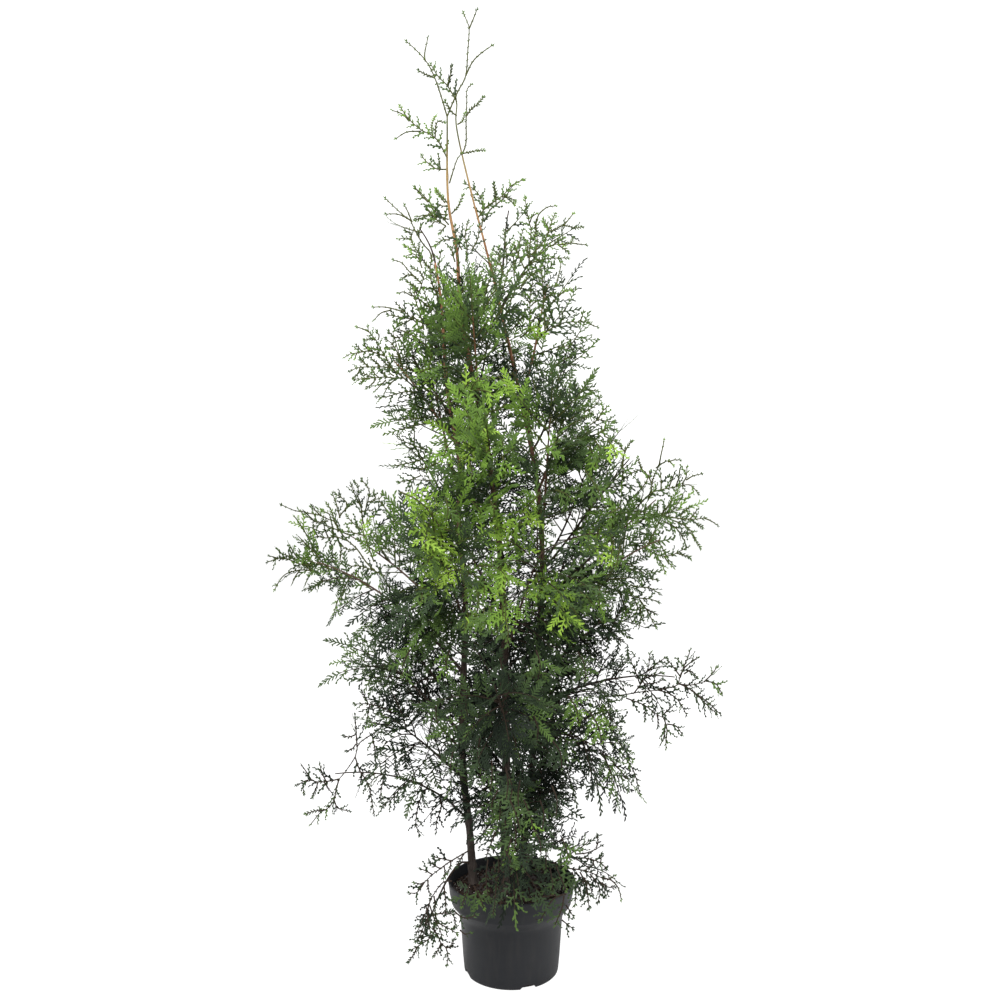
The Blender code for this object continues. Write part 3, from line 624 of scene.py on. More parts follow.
def part_of(line, start, end, count):
    """The line from one share of it to another, as count + 1 points."""
    return np.array([at_share(line, start + (end - start) * i / count)[0] for i in range(count + 1)])


def length_of(line):
    """How long a line is."""
    return float(np.linalg.norm(np.diff(line, axis=0), axis=1).sum())


def unit(v):
    """The vector, or each row of vectors, at length 1."""
    return v / np.maximum(np.linalg.norm(v, axis=-1, keepdims=True), TINY)


stem_lines = {name: smooth_line(stem.line, STEM_SAMPLES) for name, stem in STEMS.items()}


def stem_radius(name, height):
    """A stem's radius at a height, with its taper and the flare at its foot."""
    stem = STEMS[name]
    share = np.clip((height - SOIL_LEVEL) / (stem.line[-1][2] - SOIL_LEVEL), 0.0, 1.0)
    taper = stem.tip_radius + (stem.foot_radius - stem.tip_radius) * (1 - share) ** STEM_TAPER
    return taper * (1 + FLARE * np.exp(-np.maximum(height - SOIL_LEVEL, 0) / FLARE_HEIGHT))


def reach_line(mass):
    """The line of a bough and its foliage, from its stem's centre to its furthest tip."""
    stem = stem_lines[mass.stem]
    start = stem[-1] if mass.height is None else stem[int(np.searchsorted(stem[:, 2], mass.height))]
    tip = np.array(mass.tip)
    level = unit(np.array([tip[0] - start[0], tip[1] - start[1], 0.0]))
    size = np.linalg.norm(tip - start)
    slopes = [math.radians(mass.rise), math.radians(mass.end_slope)]
    ways = [level * math.cos(s) + np.array([0, 0, math.sin(s)]) for s in slopes]
    first, last = start + REACH_HANDLES[0] * size * ways[0], tip - REACH_HANDLES[1] * size * ways[1]
    t = np.linspace(0.0, 1.0, REACH_SAMPLES + 1)[:, None]
    fine = (1 - t) ** 3 * start + 3 * t * (1 - t) ** 2 * first + 3 * t**2 * (1 - t) * last + t**3 * tip
    return spread_evenly(fine, REACH_SAMPLES)


def bough_radius(mass):
    """A bough's radius where it leaves its stem."""
    return float(max(BOUGH_SHARE * stem_radius(mass.stem, mass.height), THINNEST_BOUGH))


lines = {name: reach_line(mass) for name, mass in masses.items()}
print("masses:", len(lines), "total reach", round(sum(map(length_of, lines.values())), 2), "m")

# %% [markdown]
# ## Bark
#
# Young arborvitae bark is thin and fibrous: it splits into shallow strips that run up the stem. A limb is
# swept as rings of points along its line, and each point is pushed in or out by a field that changes fast
# round the limb and slowly along it. The limb swells where boughs leave it.

# %% Sweep a limb with its bark
BARK_DEPTH = 0.085
BARK_STRIP = 0.020
BARK_LAYERS = ((BARK_STRIP, 1.0), (BARK_STRIP / 4, 0.6), (0.0, 0.25))
BARK_SOFTNESS = 1.3
KNOT_HEIGHT = 0.006
FIRST_SIDE = (0.3, 1.0, 0.2)


def frames_along(line):
    """Two unit vectors square to the line at each point, carried along it without twisting."""
    ways = unit(np.gradient(line, axis=0))
    side = unit(np.cross(ways[0], FIRST_SIDE))
    sides = []
    for way in ways:
        side = unit(side - way * side.dot(way))
        sides.append(side)
    sides = np.array(sides)
    return sides, np.cross(ways, sides)


def bark_field(rings, count, step, seed):
    """Strips of bark, about 1 high: noise smoothed along the limb and hardly at all round it."""
    dice = np.random.default_rng(seed)
    field = np.zeros((rings, count))
    for reach, weight in BARK_LAYERS:
        width = max(int(reach / step), 1)
        rough = dice.normal(size=(rings + 2 * width, count))
        kernel = np.hanning(2 * width + 1)
        kernel /= np.sqrt((kernel**2).sum())
        smoothed = [np.convolve(rough[:, k], kernel, "same")[width:width + rings] for k in range(count)]
        field += weight * np.array(smoothed).T
    return np.tanh(field / BARK_SOFTNESS)


def swept_limb(name, line, radii, count, seed, knots=()):
    """A closed limb with bark. A knot is a height and the share of radius that a collar adds there."""
    step = length_of(line) / (len(line) - 1)
    side, over = frames_along(line)
    angle = np.arange(count) * 2 * math.pi / count
    swell = np.ones(len(line))
    for height, share in knots:
        swell += share * np.exp(-((line[:, 2] - height) / KNOT_HEIGHT) ** 2)
    radius = (radii * swell)[:, None] * (1 + BARK_DEPTH * bark_field(len(line), count, step, seed))
    out = side[:, None] * np.cos(angle)[None, :, None] + over[:, None] * np.sin(angle)[None, :, None]
    points = (line[:, None] + radius[..., None] * out).reshape(-1, 3)
    last = len(points) - count
    caps = [tuple(range(count - 1, -1, -1)), tuple(range(last, last + count))]
    mesh = bpy.data.meshes.new(name)
    mesh.from_pydata(points.tolist(), [], tube_faces(len(line), count).tolist() + caps)
    mesh.shade_smooth()
    return mesh


# %% [markdown]
# Bark changes with age, so its colour follows height: dark and grey-brown at the foot, red-brown in the
# crown, and orange to tan on the young leaders. The fine fibres are noise squeezed along the limb.

# %% Finish of the bark
bark = finish("fibrous_bark", (0.12, 0.065, 0.042), 0.8, 0.35)
recipe = Recipe(bark)
fibre = recipe.noise(900.0, 5.0, 0.65, recipe.stretched((1.0, 1.0, 0.12)))
patch = recipe.noise(60.0, 3.0, 0.5, recipe.stretched((1.0, 1.0, 0.4)))
rise = recipe.height(0.12, 1.30)
aged = recipe.ramp(rise, (0.0, (0.034, 0.025, 0.021)), (0.30, (0.044, 0.029, 0.022)),
                   (0.62, (0.120, 0.052, 0.030)), (0.80, (0.34, 0.150, 0.070)),
                   (0.90, (0.30, 0.190, 0.075)), (0.95, (0.085, 0.095, 0.035)))
pale = recipe.ramp(rise, (0.0, (0.075, 0.060, 0.052)), (0.30, (0.090, 0.064, 0.048)),
                   (0.62, (0.20, 0.090, 0.052)), (0.80, (0.46, 0.235, 0.110)),
                   (0.90, (0.40, 0.280, 0.110)), (0.95, (0.130, 0.145, 0.055)))
worn = recipe.mixed(recipe.ranged(patch, -0.6, 1.5), aged, pale)
crack = recipe.ramp(fibre, (0.30, (0.42, 0.40, 0.38)), (0.60, (1.0, 1.0, 1.0)))
recipe.give(recipe.mixed(0.85, worn, crack, "MULTIPLY"), "Base Color")
recipe.give(recipe.ranged(fibre, 0.92, 0.62), "Roughness")
recipe.bump(fibre, 0.55, 0.0006)

# %% Stems
STEM_STEP = 0.0022
STEM_SIDES = 26
STEM_SEED = 21
KNOT_RISE, KNOT_SWELL = 0.002, 0.22
LEADER_THINNING = {
    "left": ((0.90, 1.0), (1.30, 0.7)),
    "middle": ((0.90, 1.0), (1.18, 0.74), (1.30, 0.68)),
    "right": ((0.82, 1.0), (1.02, 0.70), (1.30, 0.62)),
}

for number, name in enumerate(STEMS):
    count = round(length_of(stem_lines[name]) / STEM_STEP)
    line = spread_evenly(stem_lines[name], count)
    borne = [mass for mass in masses.values() if mass.stem == name and mass.height]
    knots = [(mass.height + KNOT_RISE, KNOT_SWELL) for mass in borne]
    radii = stem_radius(name, line[:, 2]) * np.interp(line[:, 2], *zip(*LEADER_THINNING[name]))
    mesh = swept_limb(f"stem_{name}_bark", line, radii, STEM_SIDES, STEM_SEED + number, knots)
    settle(put(f"stem_{name}_bark", mesh, bark), "bark", f"stem_{name}")
    print("stem", name, len(mesh.polygons), "faces")

# %% [markdown]
# A bough leaves its stem through a flared collar and tapers all the way through its mass of foliage, so one
# swept limb stands for the bough and the woody core of its mass.

# %% Boughs
BOUGH_STEP = 0.003
BOUGH_SIDES = 14
BOUGH_SAMPLES = 40
BOUGH_SEED = 40
COLLAR, COLLAR_LENGTH = 0.35, 0.008
CORE_TIP_RADIUS = 0.0008
STEM_END = 0.8
SPRAY_SHARE = 1.30
BRANCH_LENGTH = (0.036, 0.150)


def branch_length(mass):
    """Length of the flat branches in a mass."""
    return within(SPRAY_SHARE * mass.spread, *BRANCH_LENGTH)


def core_end(mass, line):
    """The share of a mass's line where its woody core gives way to the last branch."""
    return 1 - STEM_END * branch_length(mass) / length_of(line)


for number, mass in enumerate(BOUGHS):
    end = core_end(mass, lines[mass.name])
    count = round(length_of(lines[mass.name]) * end / BOUGH_STEP)
    line = spread_evenly(part_of(lines[mass.name], 0.0, end, BOUGH_SAMPLES), count)
    share = np.linspace(0.0, 1.0, count + 1)
    radii = bough_radius(mass) * (1 - share) + CORE_TIP_RADIUS * share
    radii *= 1 + COLLAR * np.exp(-share * length_of(line) / COLLAR_LENGTH)
    mesh = swept_limb(f"bough_{mass.name}_bark", line, radii, BOUGH_SIDES, BOUGH_SEED + number)
    settle(put(f"bough_{mass.name}_bark", mesh, bark), "bark", f"bough_{mass.name}")
print("boughs:", len(BOUGHS))

# %% [markdown]
# ## Sprays of scale leaves
#
# Seen close, the foliage is a flat frond. A rib carries fingers left and right in turn, and each finger is a
# string of overlapping scales: as wide where it joins the rib as in its middle, curved towards the tip and
# blunt at its end. Its middle stands up in a low ridge, and the longest fingers fork. A few patterns are made
# once: three sizes of broad frond, a narrow one for older twigs and a sparse shoot, so that fingers keep
# their real width of 2 to 3 mm.

# %% Sizes of a frond
Frond = namedtuple("Frond", "seed length fingers longest spread bend sag side stations forked")
FERN, ANTLER, SHOOT = (72, 26), (56, 14), (66, 20)
FINGER_HALF_WIDTH = 0.0013
FINE_FINGER = ((0.0, 0.95), (0.42, 1.0), (0.80, 0.72))
PLAIN_FINGER = ((0.0, 0.95), (0.66, 0.92))
FINGER_RIDGE = 0.0005
FINGERS_FROM, FINGERS_OVER = 0.07, 0.81
FINGER_RISE = (0.55, 2.2)
FINGER_WANDER = (0.80, 1.18)
FINGER_TURN = (16, 36)
ANGLE_WANDER = 7
TIP_FINGER = 0.16
FORK_ANGLE, FORK_LENGTH, FORK_WIDTH = 42, 0.46, 0.85
RIB_HALF_WIDTH = 0.0010
RIB_RIDGE = 0.0004
RIB_SHARE = 0.95
RIB_STATIONS = ((0.0, 1.0), (0.6, 0.85))
LOBE_WIDEST, LOBE_HEIGHT = 0.45, 0.0001
SCALE_HALF_WIDTH = 0.0011
SIDEWAYS_SAG = 1.6
PROFILE_FALL = 0.62


def profile(share, start, rise):
    """A length that grows fast from its value at the root, and shrinks towards the tip."""
    return min(1.0, start + rise * share) * (1 - PROFILE_FALL * share)


# %% Shape one frond
class Pattern:
    """A frond under construction: points and faces, in metres, lying flat along +X."""

    def __init__(self):
        self.points, self.faces = [], []

    def strip(self, root, angle, turn, length, stations, half_width, ridge):
        """A ridged strip with a pointed end, that starts at an angle and turns as it goes."""
        at, before, rows = np.array(root, float), 0.0, []
        for share, wide in stations:
            heading = angle + turn * share
            way = np.array([math.cos(heading), math.sin(heading)])
            at = at + way * (share - before) * length
            before = share
            off = np.array([-way[1], way[0]]) * half_width * wide
            rows.append(len(self.points))
            self.points += [(*(at + off), 0.0), (*at, ridge * wide), (*(at - off), 0.0)]
        heading = angle + turn
        tip = at + np.array([math.cos(heading), math.sin(heading)]) * (1 - before) * length
        self.points.append((*tip, 0.0))
        for a, b in zip(rows, rows[1:]):
            self.faces += [(a, a + 1, b + 1, b), (a + 1, a + 2, b + 2, b + 1)]
        a, end = rows[-1], len(self.points) - 1
        self.faces += [(a, a + 1, end), (a + 1, a + 2, end)]
        return self.points[rows[len(rows) // 2] + 1]

    def lobe(self, root, heading, length, half_width):
        """A flat pointed lobe of two triangles."""
        way = np.array([math.cos(heading), math.sin(heading)])
        off = np.array([-way[1], way[0]]) * half_width
        root = np.array(root[:2], float)
        widest = root + way * length * LOBE_WIDEST
        first = len(self.points)
        for corner in (root, widest - off, root + way * length, widest + off):
            self.points.append((*corner, LOBE_HEIGHT))
        self.faces += [(first, first + 1, first + 2), (first, first + 2, first + 3)]

    def mesh(self, name, bend=0.0, sag=0.0):
        """The frond's mesh, bent to one side in its plane and sagging out of it."""
        p = np.array(self.points)
        x, y = p[:, 0].copy(), p[:, 1].copy()
        p[:, 1] += bend * x**2
        p[:, 2] -= sag * (x**2 + SIDEWAYS_SAG * y**2)
        mesh = bpy.data.meshes.new(name)
        mesh.from_pydata(p.tolist(), [], self.faces)
        mesh.shade_smooth()
        return mesh


def frond_mesh(name, kind):
    """One pattern of frond: a rib, its fingers left and right in turn, and one at its tip."""
    dice = random.Random(kind.seed)
    made = Pattern()
    made.strip((0, 0), 0.0, 0.0, kind.length * RIB_SHARE, RIB_STATIONS, RIB_HALF_WIDTH, RIB_RIDGE)
    for i in range(kind.fingers):
        share = FINGERS_FROM + FINGERS_OVER * i / (kind.fingers - 1)
        side = kind.side * (-1) ** i
        lean = kind.spread[0] - kind.spread[1] * share + dice.uniform(-ANGLE_WANDER, ANGLE_WANDER)
        angle = side * math.radians(lean)
        length = kind.longest * profile(share, *FINGER_RISE) * dice.uniform(*FINGER_WANDER)
        turn = -side * math.radians(dice.uniform(*FINGER_TURN))
        half_way = made.strip((share * kind.length, 0.0), angle, turn, length, kind.stations,
                              FINGER_HALF_WIDTH, FINGER_RIDGE)
        if length > kind.forked:
            fork = side * dice.choice((-1, 1)) * math.radians(FORK_ANGLE)
            made.lobe(half_way, angle + turn * 0.5 + fork, length * FORK_LENGTH,
                      FINGER_HALF_WIDTH * FORK_WIDTH)
    made.strip((kind.length * (1 - TIP_FINGER), 0), 0.0, 0.0, kind.length * TIP_FINGER, PLAIN_FINGER,
               FINGER_HALF_WIDTH, FINGER_RIDGE)
    return made.mesh(name, kind.bend, kind.sag)


def scale_mesh(name, lobes):
    """Loose scales on a bare shoot: each lobe has its place along the shoot, its angle and its length."""
    made = Pattern()
    for at, angle, length in lobes:
        made.lobe((at, 0.0), math.radians(angle), length, SCALE_HALF_WIDTH)
    return made.mesh(name)


# %% Make the patterns
NEVER = 1.0
FRONDS = (
    Frond(100, 0.054, 18, 0.0190, FERN, 2.2, 3.5, 1, FINE_FINGER, 0.013),
    Frond(103, 0.039, 12, 0.0140, FERN, 3.5, 2.0, -1, PLAIN_FINGER, 0.010),
    Frond(104, 0.037, 12, 0.0130, FERN, -3.0, 6.0, 1, PLAIN_FINGER, 0.010),
    Frond(105, 0.038, 11, 0.0145, FERN, 0.8, 8.0, -1, PLAIN_FINGER, 0.011),
    Frond(106, 0.026, 7, 0.0105, FERN, 4.0, 4.0, 1, PLAIN_FINGER, NEVER),
    Frond(107, 0.024, 7, 0.0110, FERN, -4.5, 8.0, -1, PLAIN_FINGER, NEVER),
    Frond(108, 0.048, 9, 0.0130, ANTLER, 2.5, 2.0, 1, PLAIN_FINGER, 0.0105),
    Frond(109, 0.038, 7, 0.0115, ANTLER, -3.5, 4.0, -1, PLAIN_FINGER, 0.0100),
    Frond(110, 0.027, 5, 0.0095, ANTLER, 4.0, 4.0, 1, PLAIN_FINGER, NEVER),
    Frond(111, 0.044, 10, 0.0072, SHOOT, 1.5, 2.0, 1, PLAIN_FINGER, NEVER),
    Frond(112, 0.032, 7, 0.0064, SHOOT, -2.5, 3.0, -1, PLAIN_FINGER, NEVER),
    Frond(113, 0.020, 5, 0.0056, SHOOT, 2.0, 2.0, 1, PLAIN_FINGER, NEVER),
)
SCALES = (
    ((0.0, 36, 0.0066), (0.0026, -36, 0.0062)),
    ((-0.001, 0, 0.0085), (-0.002, 34, 0.0062), (0.0, -34, 0.0058)),
)
LARGE, MEDIUM, SMALL, NARROW, SHOOTS, PAIR, TUFT = (0,), (1, 2, 3), (4, 5), (6, 7, 8), (9, 10, 11), 12, 13
SCALE_LENGTH = 0.0065
PATTERN_LENGTHS = [kind.length for kind in FRONDS] + [SCALE_LENGTH] * len(SCALES)

patterns = bpy.data.collections.new("patterns")
meshes = [frond_mesh(f"frond_{k:02d}", kind) for k, kind in enumerate(FRONDS)]
meshes += [scale_mesh(f"frond_{len(FRONDS) + k:02d}", lobes) for k, lobes in enumerate(SCALES)]
for mesh in meshes:
    patterns.objects.link(bpy.data.objects.new(mesh.name, mesh))
print("patterns:", [sum(len(p.vertices) - 2 for p in mesh.polygons) for mesh in meshes], "triangles each")

# %% [markdown]
# ## How the crown grows
#
# The rule is the solids' own rule, carried two steps finer. Flat branches wind round each mass's core by the
# golden angle, leaning out less towards the tip. Each branch sags or rises as its bough does, and carries
# sprays left and right in one plane, longest near its middle. A branch or spray that would leave its mass's
# own space, meet a limb, or enter the pot or the ground is left out, and that is what keeps sky between the
# masses. A few holes of sky inside the crown stay open too: each is an oval in the upright plane through the
# pot's middle, as the camera sights it.

# %% Space round the masses
RIM_CLEAR = 0.003
LOWEST = 0.006
TINY_AREA = 1e-12
LIMB_SAMPLES, WOOD_SAMPLES = 40, 4
Hole = namedtuple("Hole", "x z half_width half_height")
SKY = (
    Hole(0.065, 0.655, 0.024, 0.022), Hole(0.095, 0.742, 0.012, 0.007), Hole(0.098, 0.685, 0.010, 0.010),
    Hole(0.224, 0.702, 0.010, 0.008), Hole(0.162, 0.542, 0.008, 0.008), Hole(0.044, 0.818, 0.011, 0.014),
    Hole(-0.273, 0.645, 0.010, 0.010), Hole(-0.244, 0.676, 0.011, 0.010), Hole(-0.244, 0.630, 0.012, 0.010),
    Hole(-0.166, 0.592, 0.010, 0.010), Hole(-0.130, 0.805, 0.013, 0.015), Hole(0.042, 0.797, 0.017, 0.012),
    Hole(0.013, 0.806, 0.008, 0.008), Hole(-0.121, 0.764, 0.007, 0.006),
)

starts = np.vstack([line[:-1] for line in lines.values()])
ends = np.vstack([line[1:] for line in lines.values()])
owner = np.concatenate([[i] * (len(line) - 1) for i, line in enumerate(lines.values())])
names = list(lines)
limb_parts = []
for name in STEMS:
    line = spread_evenly(stem_lines[name], LIMB_SAMPLES)
    limb_parts += [(a, b, float(stem_radius(name, a[2]))) for a, b in zip(line, line[1:])]
for mass in BOUGHS:
    line = part_of(lines[mass.name], 0.0, mass.wood, WOOD_SAMPLES)
    limb_parts += [(a, b, bough_radius(mass)) for a, b in zip(line, line[1:])]
limb_starts, limb_ends, limb_radii = map(np.array, zip(*limb_parts))


def distances(points, a, b):
    """Distance from each point to each segment from a to b."""
    way = b - a
    off = points[:, None, :] - a[None]
    share = np.clip((off * way).sum(2) / np.maximum((way**2).sum(1), TINY_AREA), 0, 1)
    return np.linalg.norm(off - share[..., None] * way, axis=2)


def has_room(name, points, borrowed, limb_clear):
    """For each point, whether it is in its mass's space and clear of limbs, pot, ground and sky."""
    far = distances(points, starts, ends)
    mine = owner == names.index(name)
    fine = far[:, mine].min(1) < far[:, ~mine].min(1) + borrowed
    fine &= points[:, 2] > LOWEST
    scale = -CAMERA_PLACE[1] / (points[:, 1] - CAMERA_PLACE[1])
    flat_x = CAMERA_PLACE[0] + (points[:, 0] - CAMERA_PLACE[0]) * scale
    flat_z = CAMERA_PLACE[2] + (points[:, 2] - CAMERA_PLACE[2]) * scale
    for hole in SKY:
        fine &= ((flat_x - hole.x) / hole.half_width) ** 2 + ((flat_z - hole.z) / hole.half_height) ** 2 > 1
    in_pot = np.hypot(points[:, 0], points[:, 1]) < RIM_RADIUS + RIM_CLEAR
    fine &= ~(in_pot & (points[:, 2] < POT_HEIGHT + RIM_CLEAR))
    return fine & (distances(points, limb_starts, limb_ends) > limb_radii + limb_clear).all(1)


# %% [markdown]
# Masses differ in habit. The leaders are bare shoots with tiny scales. Most of the crown is open and lacy
# with narrow fronds, and the fronds that face the light are lush and broad. A habit says how far apart
# branches stand, the least and most of them on a mass, the gap between sprays, how long a spray is for its
# branch, and which patterns its large, medium and small sprays take.

# %% Habits
Habit = namedtuple("Habit", "spacing least most gap share patterns")
LUSH = Habit(0.0070, 18, 36, 0.0076, 0.38, (MEDIUM, MEDIUM, SMALL))
OPEN = Habit(0.0080, 16, 30, 0.0086, 0.42, (NARROW[:1], NARROW[:2], NARROW[1:] + SMALL[:1]))
FULL = Habit(0.0062, 18, 40, 0.0086, 0.42,
             (NARROW[:1] + LARGE, NARROW[:2] + MEDIUM[:1], NARROW[1:] + SMALL[:1]))
THIN = Habit(0.0120, 8, 16, 0.0110, 0.46,
             (NARROW[:1] + SHOOTS[:1], NARROW[1:2] + SHOOTS[:2], SHOOTS[1:]))
HABITS = {name: OPEN for name in lines}
for habit, chosen in (
    (LUSH, "front upper_front upper_front_right upper_right upper_left upper_back middle_front_left "
           "shoulder_left shoulder_right lower_front"),
    (FULL, "lower_left lower_left_low lower_right lower_right_low lower_back base_front base_back "
           "pot_left pot_right long_right"),
    (THIN, "stem_left_top sprig_right long_left_low"),
):
    HABITS.update(dict.fromkeys(chosen.split(), habit))
WRITTEN_OUT = ("leader_left", "leader_right", "sprig_left")

# %% Paths and facing of branches
GOLDEN_ANGLE = math.radians(137.5)
BRANCH_POINTS = 9
FIRST_DROOP = 0.06
LEVEL_SLOPE, SLOPE_RANGE = 24, 45
DROOPS = (-0.35, 0.85)
UPRIGHT = 0.1
LOOSE = 0.75
OUT_ACROSS, OUT_UP = 0.35, 0.02
LEAST_DEPTH = 0.10
BACK_FROM = 0.07


def droop_of(end_slope):
    """How far branches bend down, from how their bough's tip slopes. Below 0 they rise."""
    return within((LEVEL_SLOPE - end_slope) / SLOPE_RANGE, *DROOPS)


def branch_path(root, out, length, droop):
    """A branch's points, bending down or up as it goes."""
    t = np.linspace(0.0, 1.0, BRANCH_POINTS - 1)[:, None]
    ways = unit(out + droop * (t + FIRST_DROOP) * np.array([0.0, 0.0, -1.0]))
    return np.vstack([root, root + np.cumsum(ways, axis=0) * length / (BRANCH_POINTS - 1)])


def side_of(way, turn):
    """A unit vector square to a direction, turned round it."""
    level = np.cross(way, [0.0, 0.0, 1.0])
    if np.linalg.norm(level) < UPRIGHT:
        level = np.array([1.0, 0.0, 0.0])
    level = unit(level)
    return level * math.cos(turn) + np.cross(way, level) * math.sin(turn)


def facing(way, at, dice, loose=LOOSE):
    """A branch's normal: square to it, and turned to the nearer of the plant's front and back, and out."""
    wander = np.array([dice.uniform(-loose, loose) for _ in range(3)])
    deep = max(abs(at[1]), LEAST_DEPTH) * (1 if at[1] > BACK_FROM else -1)
    outward = unit(np.array([at[0] * OUT_ACROSS, deep, OUT_UP])) + wander
    return unit(outward - way * outward.dot(way))


# %% Grow branches along one line
Branch = namedtuple("Branch", "path normal habit tone")
BORROWED = 0.016
LEAN = (74.0, 36.0)
TURNS = (0, 50, -50, 100, -100, 180)
TURN_WANDER = 0.3
TRIALS = (1.0, 0.86, 0.74, 0.63, 0.54)
BRANCHES_FROM, BRANCHES_OVER = 0.04, 0.90
BRANCH_WANDER = (0.86, 1.10)
BRIGHTEST_TONE = 1.5
TESTED_FROM, WIDEST, MIDDLE = 3, 4, 5
BRANCH_HALF_WIDTH = 0.22
LIMB_CLEAR = 0.002


def tone_of_branch(dice):
    """A branch's own tone, which its sprays share: above 0 is brighter than the crown about it."""
    return min(dice.gauss(0.0, 1.0), BRIGHTEST_TONE)


def first_fit(name, places, length, droop, borrowed, middles):
    """The longest branch that fits at one of these places, in the one with most room about it."""
    for trial in TRIALS:
        fits = []
        for root, out, normal in places:
            path = branch_path(root, out, length * trial, droop)
            across = np.cross(normal, out) * BRANCH_HALF_WIDTH * length * trial
            test = np.vstack([path[TESTED_FROM:], path[WIDEST] + across, path[WIDEST] - across])
            if has_room(name, test, borrowed, LIMB_CLEAR).all():
                room = min((np.linalg.norm(path[MIDDLE] - other) for other in middles), default=0.0)
                fits.append((room, -len(fits), path, normal))
        if fits:
            path, normal = max(fits, key=lambda fit: fit[:2])[2:]
            middles.append(path[MIDDLE])
            return path, normal
    return None


def grow_along(name, line, begin, last, size, habit, droop, borrowed, dice):
    """Flat branches on the part of a line from begin to last, and one that carries the line on to its end."""
    count = within(round(length_of(line) * (last - begin) / habit.spacing), habit.least, habit.most)
    root = at_share(line, last)[0]
    out = unit(line[-1] - root)
    path = branch_path(root, out, float(np.linalg.norm(line[-1] - root)), 0.0)
    grown = [Branch(path, facing(out, root, dice), habit, tone_of_branch(dice))]
    middles = []
    for i in range(count):
        share = BRANCHES_FROM + BRANCHES_OVER * i / (count - 1)
        root, way = at_share(line, begin + (last - begin) * share)
        first_turn = i * GOLDEN_ANGLE + dice.uniform(-TURN_WANDER, TURN_WANDER)
        lean = math.radians(LEAN[0] + (LEAN[1] - LEAN[0]) * share)
        length = size * dice.uniform(*BRANCH_WANDER)
        places = []
        for turn in TURNS:
            side = side_of(way, first_turn + math.radians(turn))
            out = unit(way * math.cos(lean) + side * math.sin(lean))
            places.append((root, out, facing(out, root + out * length, dice)))
        found = first_fit(name, places, length, droop, borrowed, middles)
        if found:
            grown.append(Branch(*found, habit, tone_of_branch(dice)))
    return grown


# %% [markdown]
# A real bough forks, and smaller boughs fill the room between the main ones. Each of these has a line of its
# own, and its foliage counts as part of the mass that its tip lies nearest to. Short branches clothe the
# stems between them.

# %% Smaller boughs
SMALLER = (
    Bough("", "right", 0.990, (0.104, 0.020, 1.118), 62, 22, 0.0, 0.055),
    Bough("", "left", 0.900, (-0.176, 0.010, 1.075), 60, 45, 0.0, 0.060),
    Bough("", "middle", 0.930, (-0.130, -0.030, 1.105), 60, 55, 0.0, 0.055),
    Bough("", "left", 0.830, (-0.206, 0.020, 0.992), 50, 40, 0.0, 0.055),
    Bough("", "left", 0.680, (-0.196, 0.010, 0.830), 50, 20, 0.0, 0.062),
    Bough("", "right", 0.780, (0.118, 0.040, 1.000), 55, 50, 0.0, 0.065),
    Bough("", "right", 0.600, (0.212, 0.000, 0.805), 48, 40, 0.0, 0.050),
    Bough("", "right", 0.470, (0.205, -0.050, 0.600), 40, -30, 0.0, 0.070),
    Bough("", "left", 0.400, (-0.250, -0.040, 0.560), 40, 0, 0.0, 0.066),
    Bough("", "left", 0.330, (-0.232, 0.040, 0.440), 42, -20, 0.0, 0.070),
    Bough("", "middle", 0.300, (-0.120, 0.060, 0.400), 45, -10, 0.0, 0.070),
    Bough("", "middle", 0.260, (-0.120, -0.060, 0.330), 45, -40, 0.0, 0.066),
    Bough("", "right", 0.340, (0.120, -0.060, 0.440), 45, -20, 0.0, 0.070),
    Bough("", "right", 0.280, (0.125, 0.080, 0.360), 45, -35, 0.0, 0.070),
    Bough("", "right", 0.230, (0.090, -0.020, 0.290), 50, -45, 0.0, 0.062),
    Bough("", "middle", 0.240, (0.030, -0.110, 0.215), 50, -70, 0.0, 0.055),
)
CLOTHED = {"left": (0.30, 1.02), "middle": (0.22, 1.10), "right": (0.24, 1.08)}
CLOTHING_GAP = {"left": 0.012, "middle": 0.006, "right": 0.007}
CLOTHING_LENGTH = (0.070, 0.120)
CLOTHING_LEAN = (68, 30)
CLOTHING_TAPER = (1.1, 0.45)
CLOTHING_DROOP = (0.35, 0.5)
CLOTHING_WANDER = 0.4
# Painted shade: branches on the stems stand deep in the crown, so their tones are drawn mostly dark.
CLOTHING_TONES = (-2.4, 0.2)
SHARED_SPACE = 0.08
SPRAY_CLEAR = 0.001


def nearest_mass(point):
    """The name of the mass whose line runs nearest to a point."""
    return names[owner[int(distances(point[None], starts, ends)[0].argmin())]]


def clothe_stem(name, dice):
    """Short branches that spring straight from a stem, each with the name of the mass it is part of."""
    line = stem_lines[name]
    low, high = CLOTHED[name]
    found = []
    for i in range(round((high - low) / CLOTHING_GAP[name])):
        height = low + (i + 0.5) * CLOTHING_GAP[name]
        k = int(np.searchsorted(line[:, 2], height))
        root, way = line[k], unit(line[k] - line[k - 1])
        share = (height - low) / (high - low)
        lean = math.radians(CLOTHING_LEAN[0] - CLOTHING_LEAN[1] * share)
        turn = i * GOLDEN_ANGLE + dice.uniform(-CLOTHING_WANDER, CLOTHING_WANDER)
        out = unit(way * math.cos(lean) + side_of(way, turn) * math.sin(lean))
        length = dice.uniform(*CLOTHING_LENGTH) * (CLOTHING_TAPER[0] - CLOTHING_TAPER[1] * share)
        path = branch_path(root, out, length, CLOTHING_DROOP[0] - CLOTHING_DROOP[1] * share)
        nearest = nearest_mass(path[MIDDLE])
        if has_room(nearest, path[2:], SHARED_SPACE, SPRAY_CLEAR).all():
            normal = facing(out, path[MIDDLE], dice)
            found.append((nearest, Branch(path, normal, OPEN, dice.uniform(*CLOTHING_TONES))))
    return found
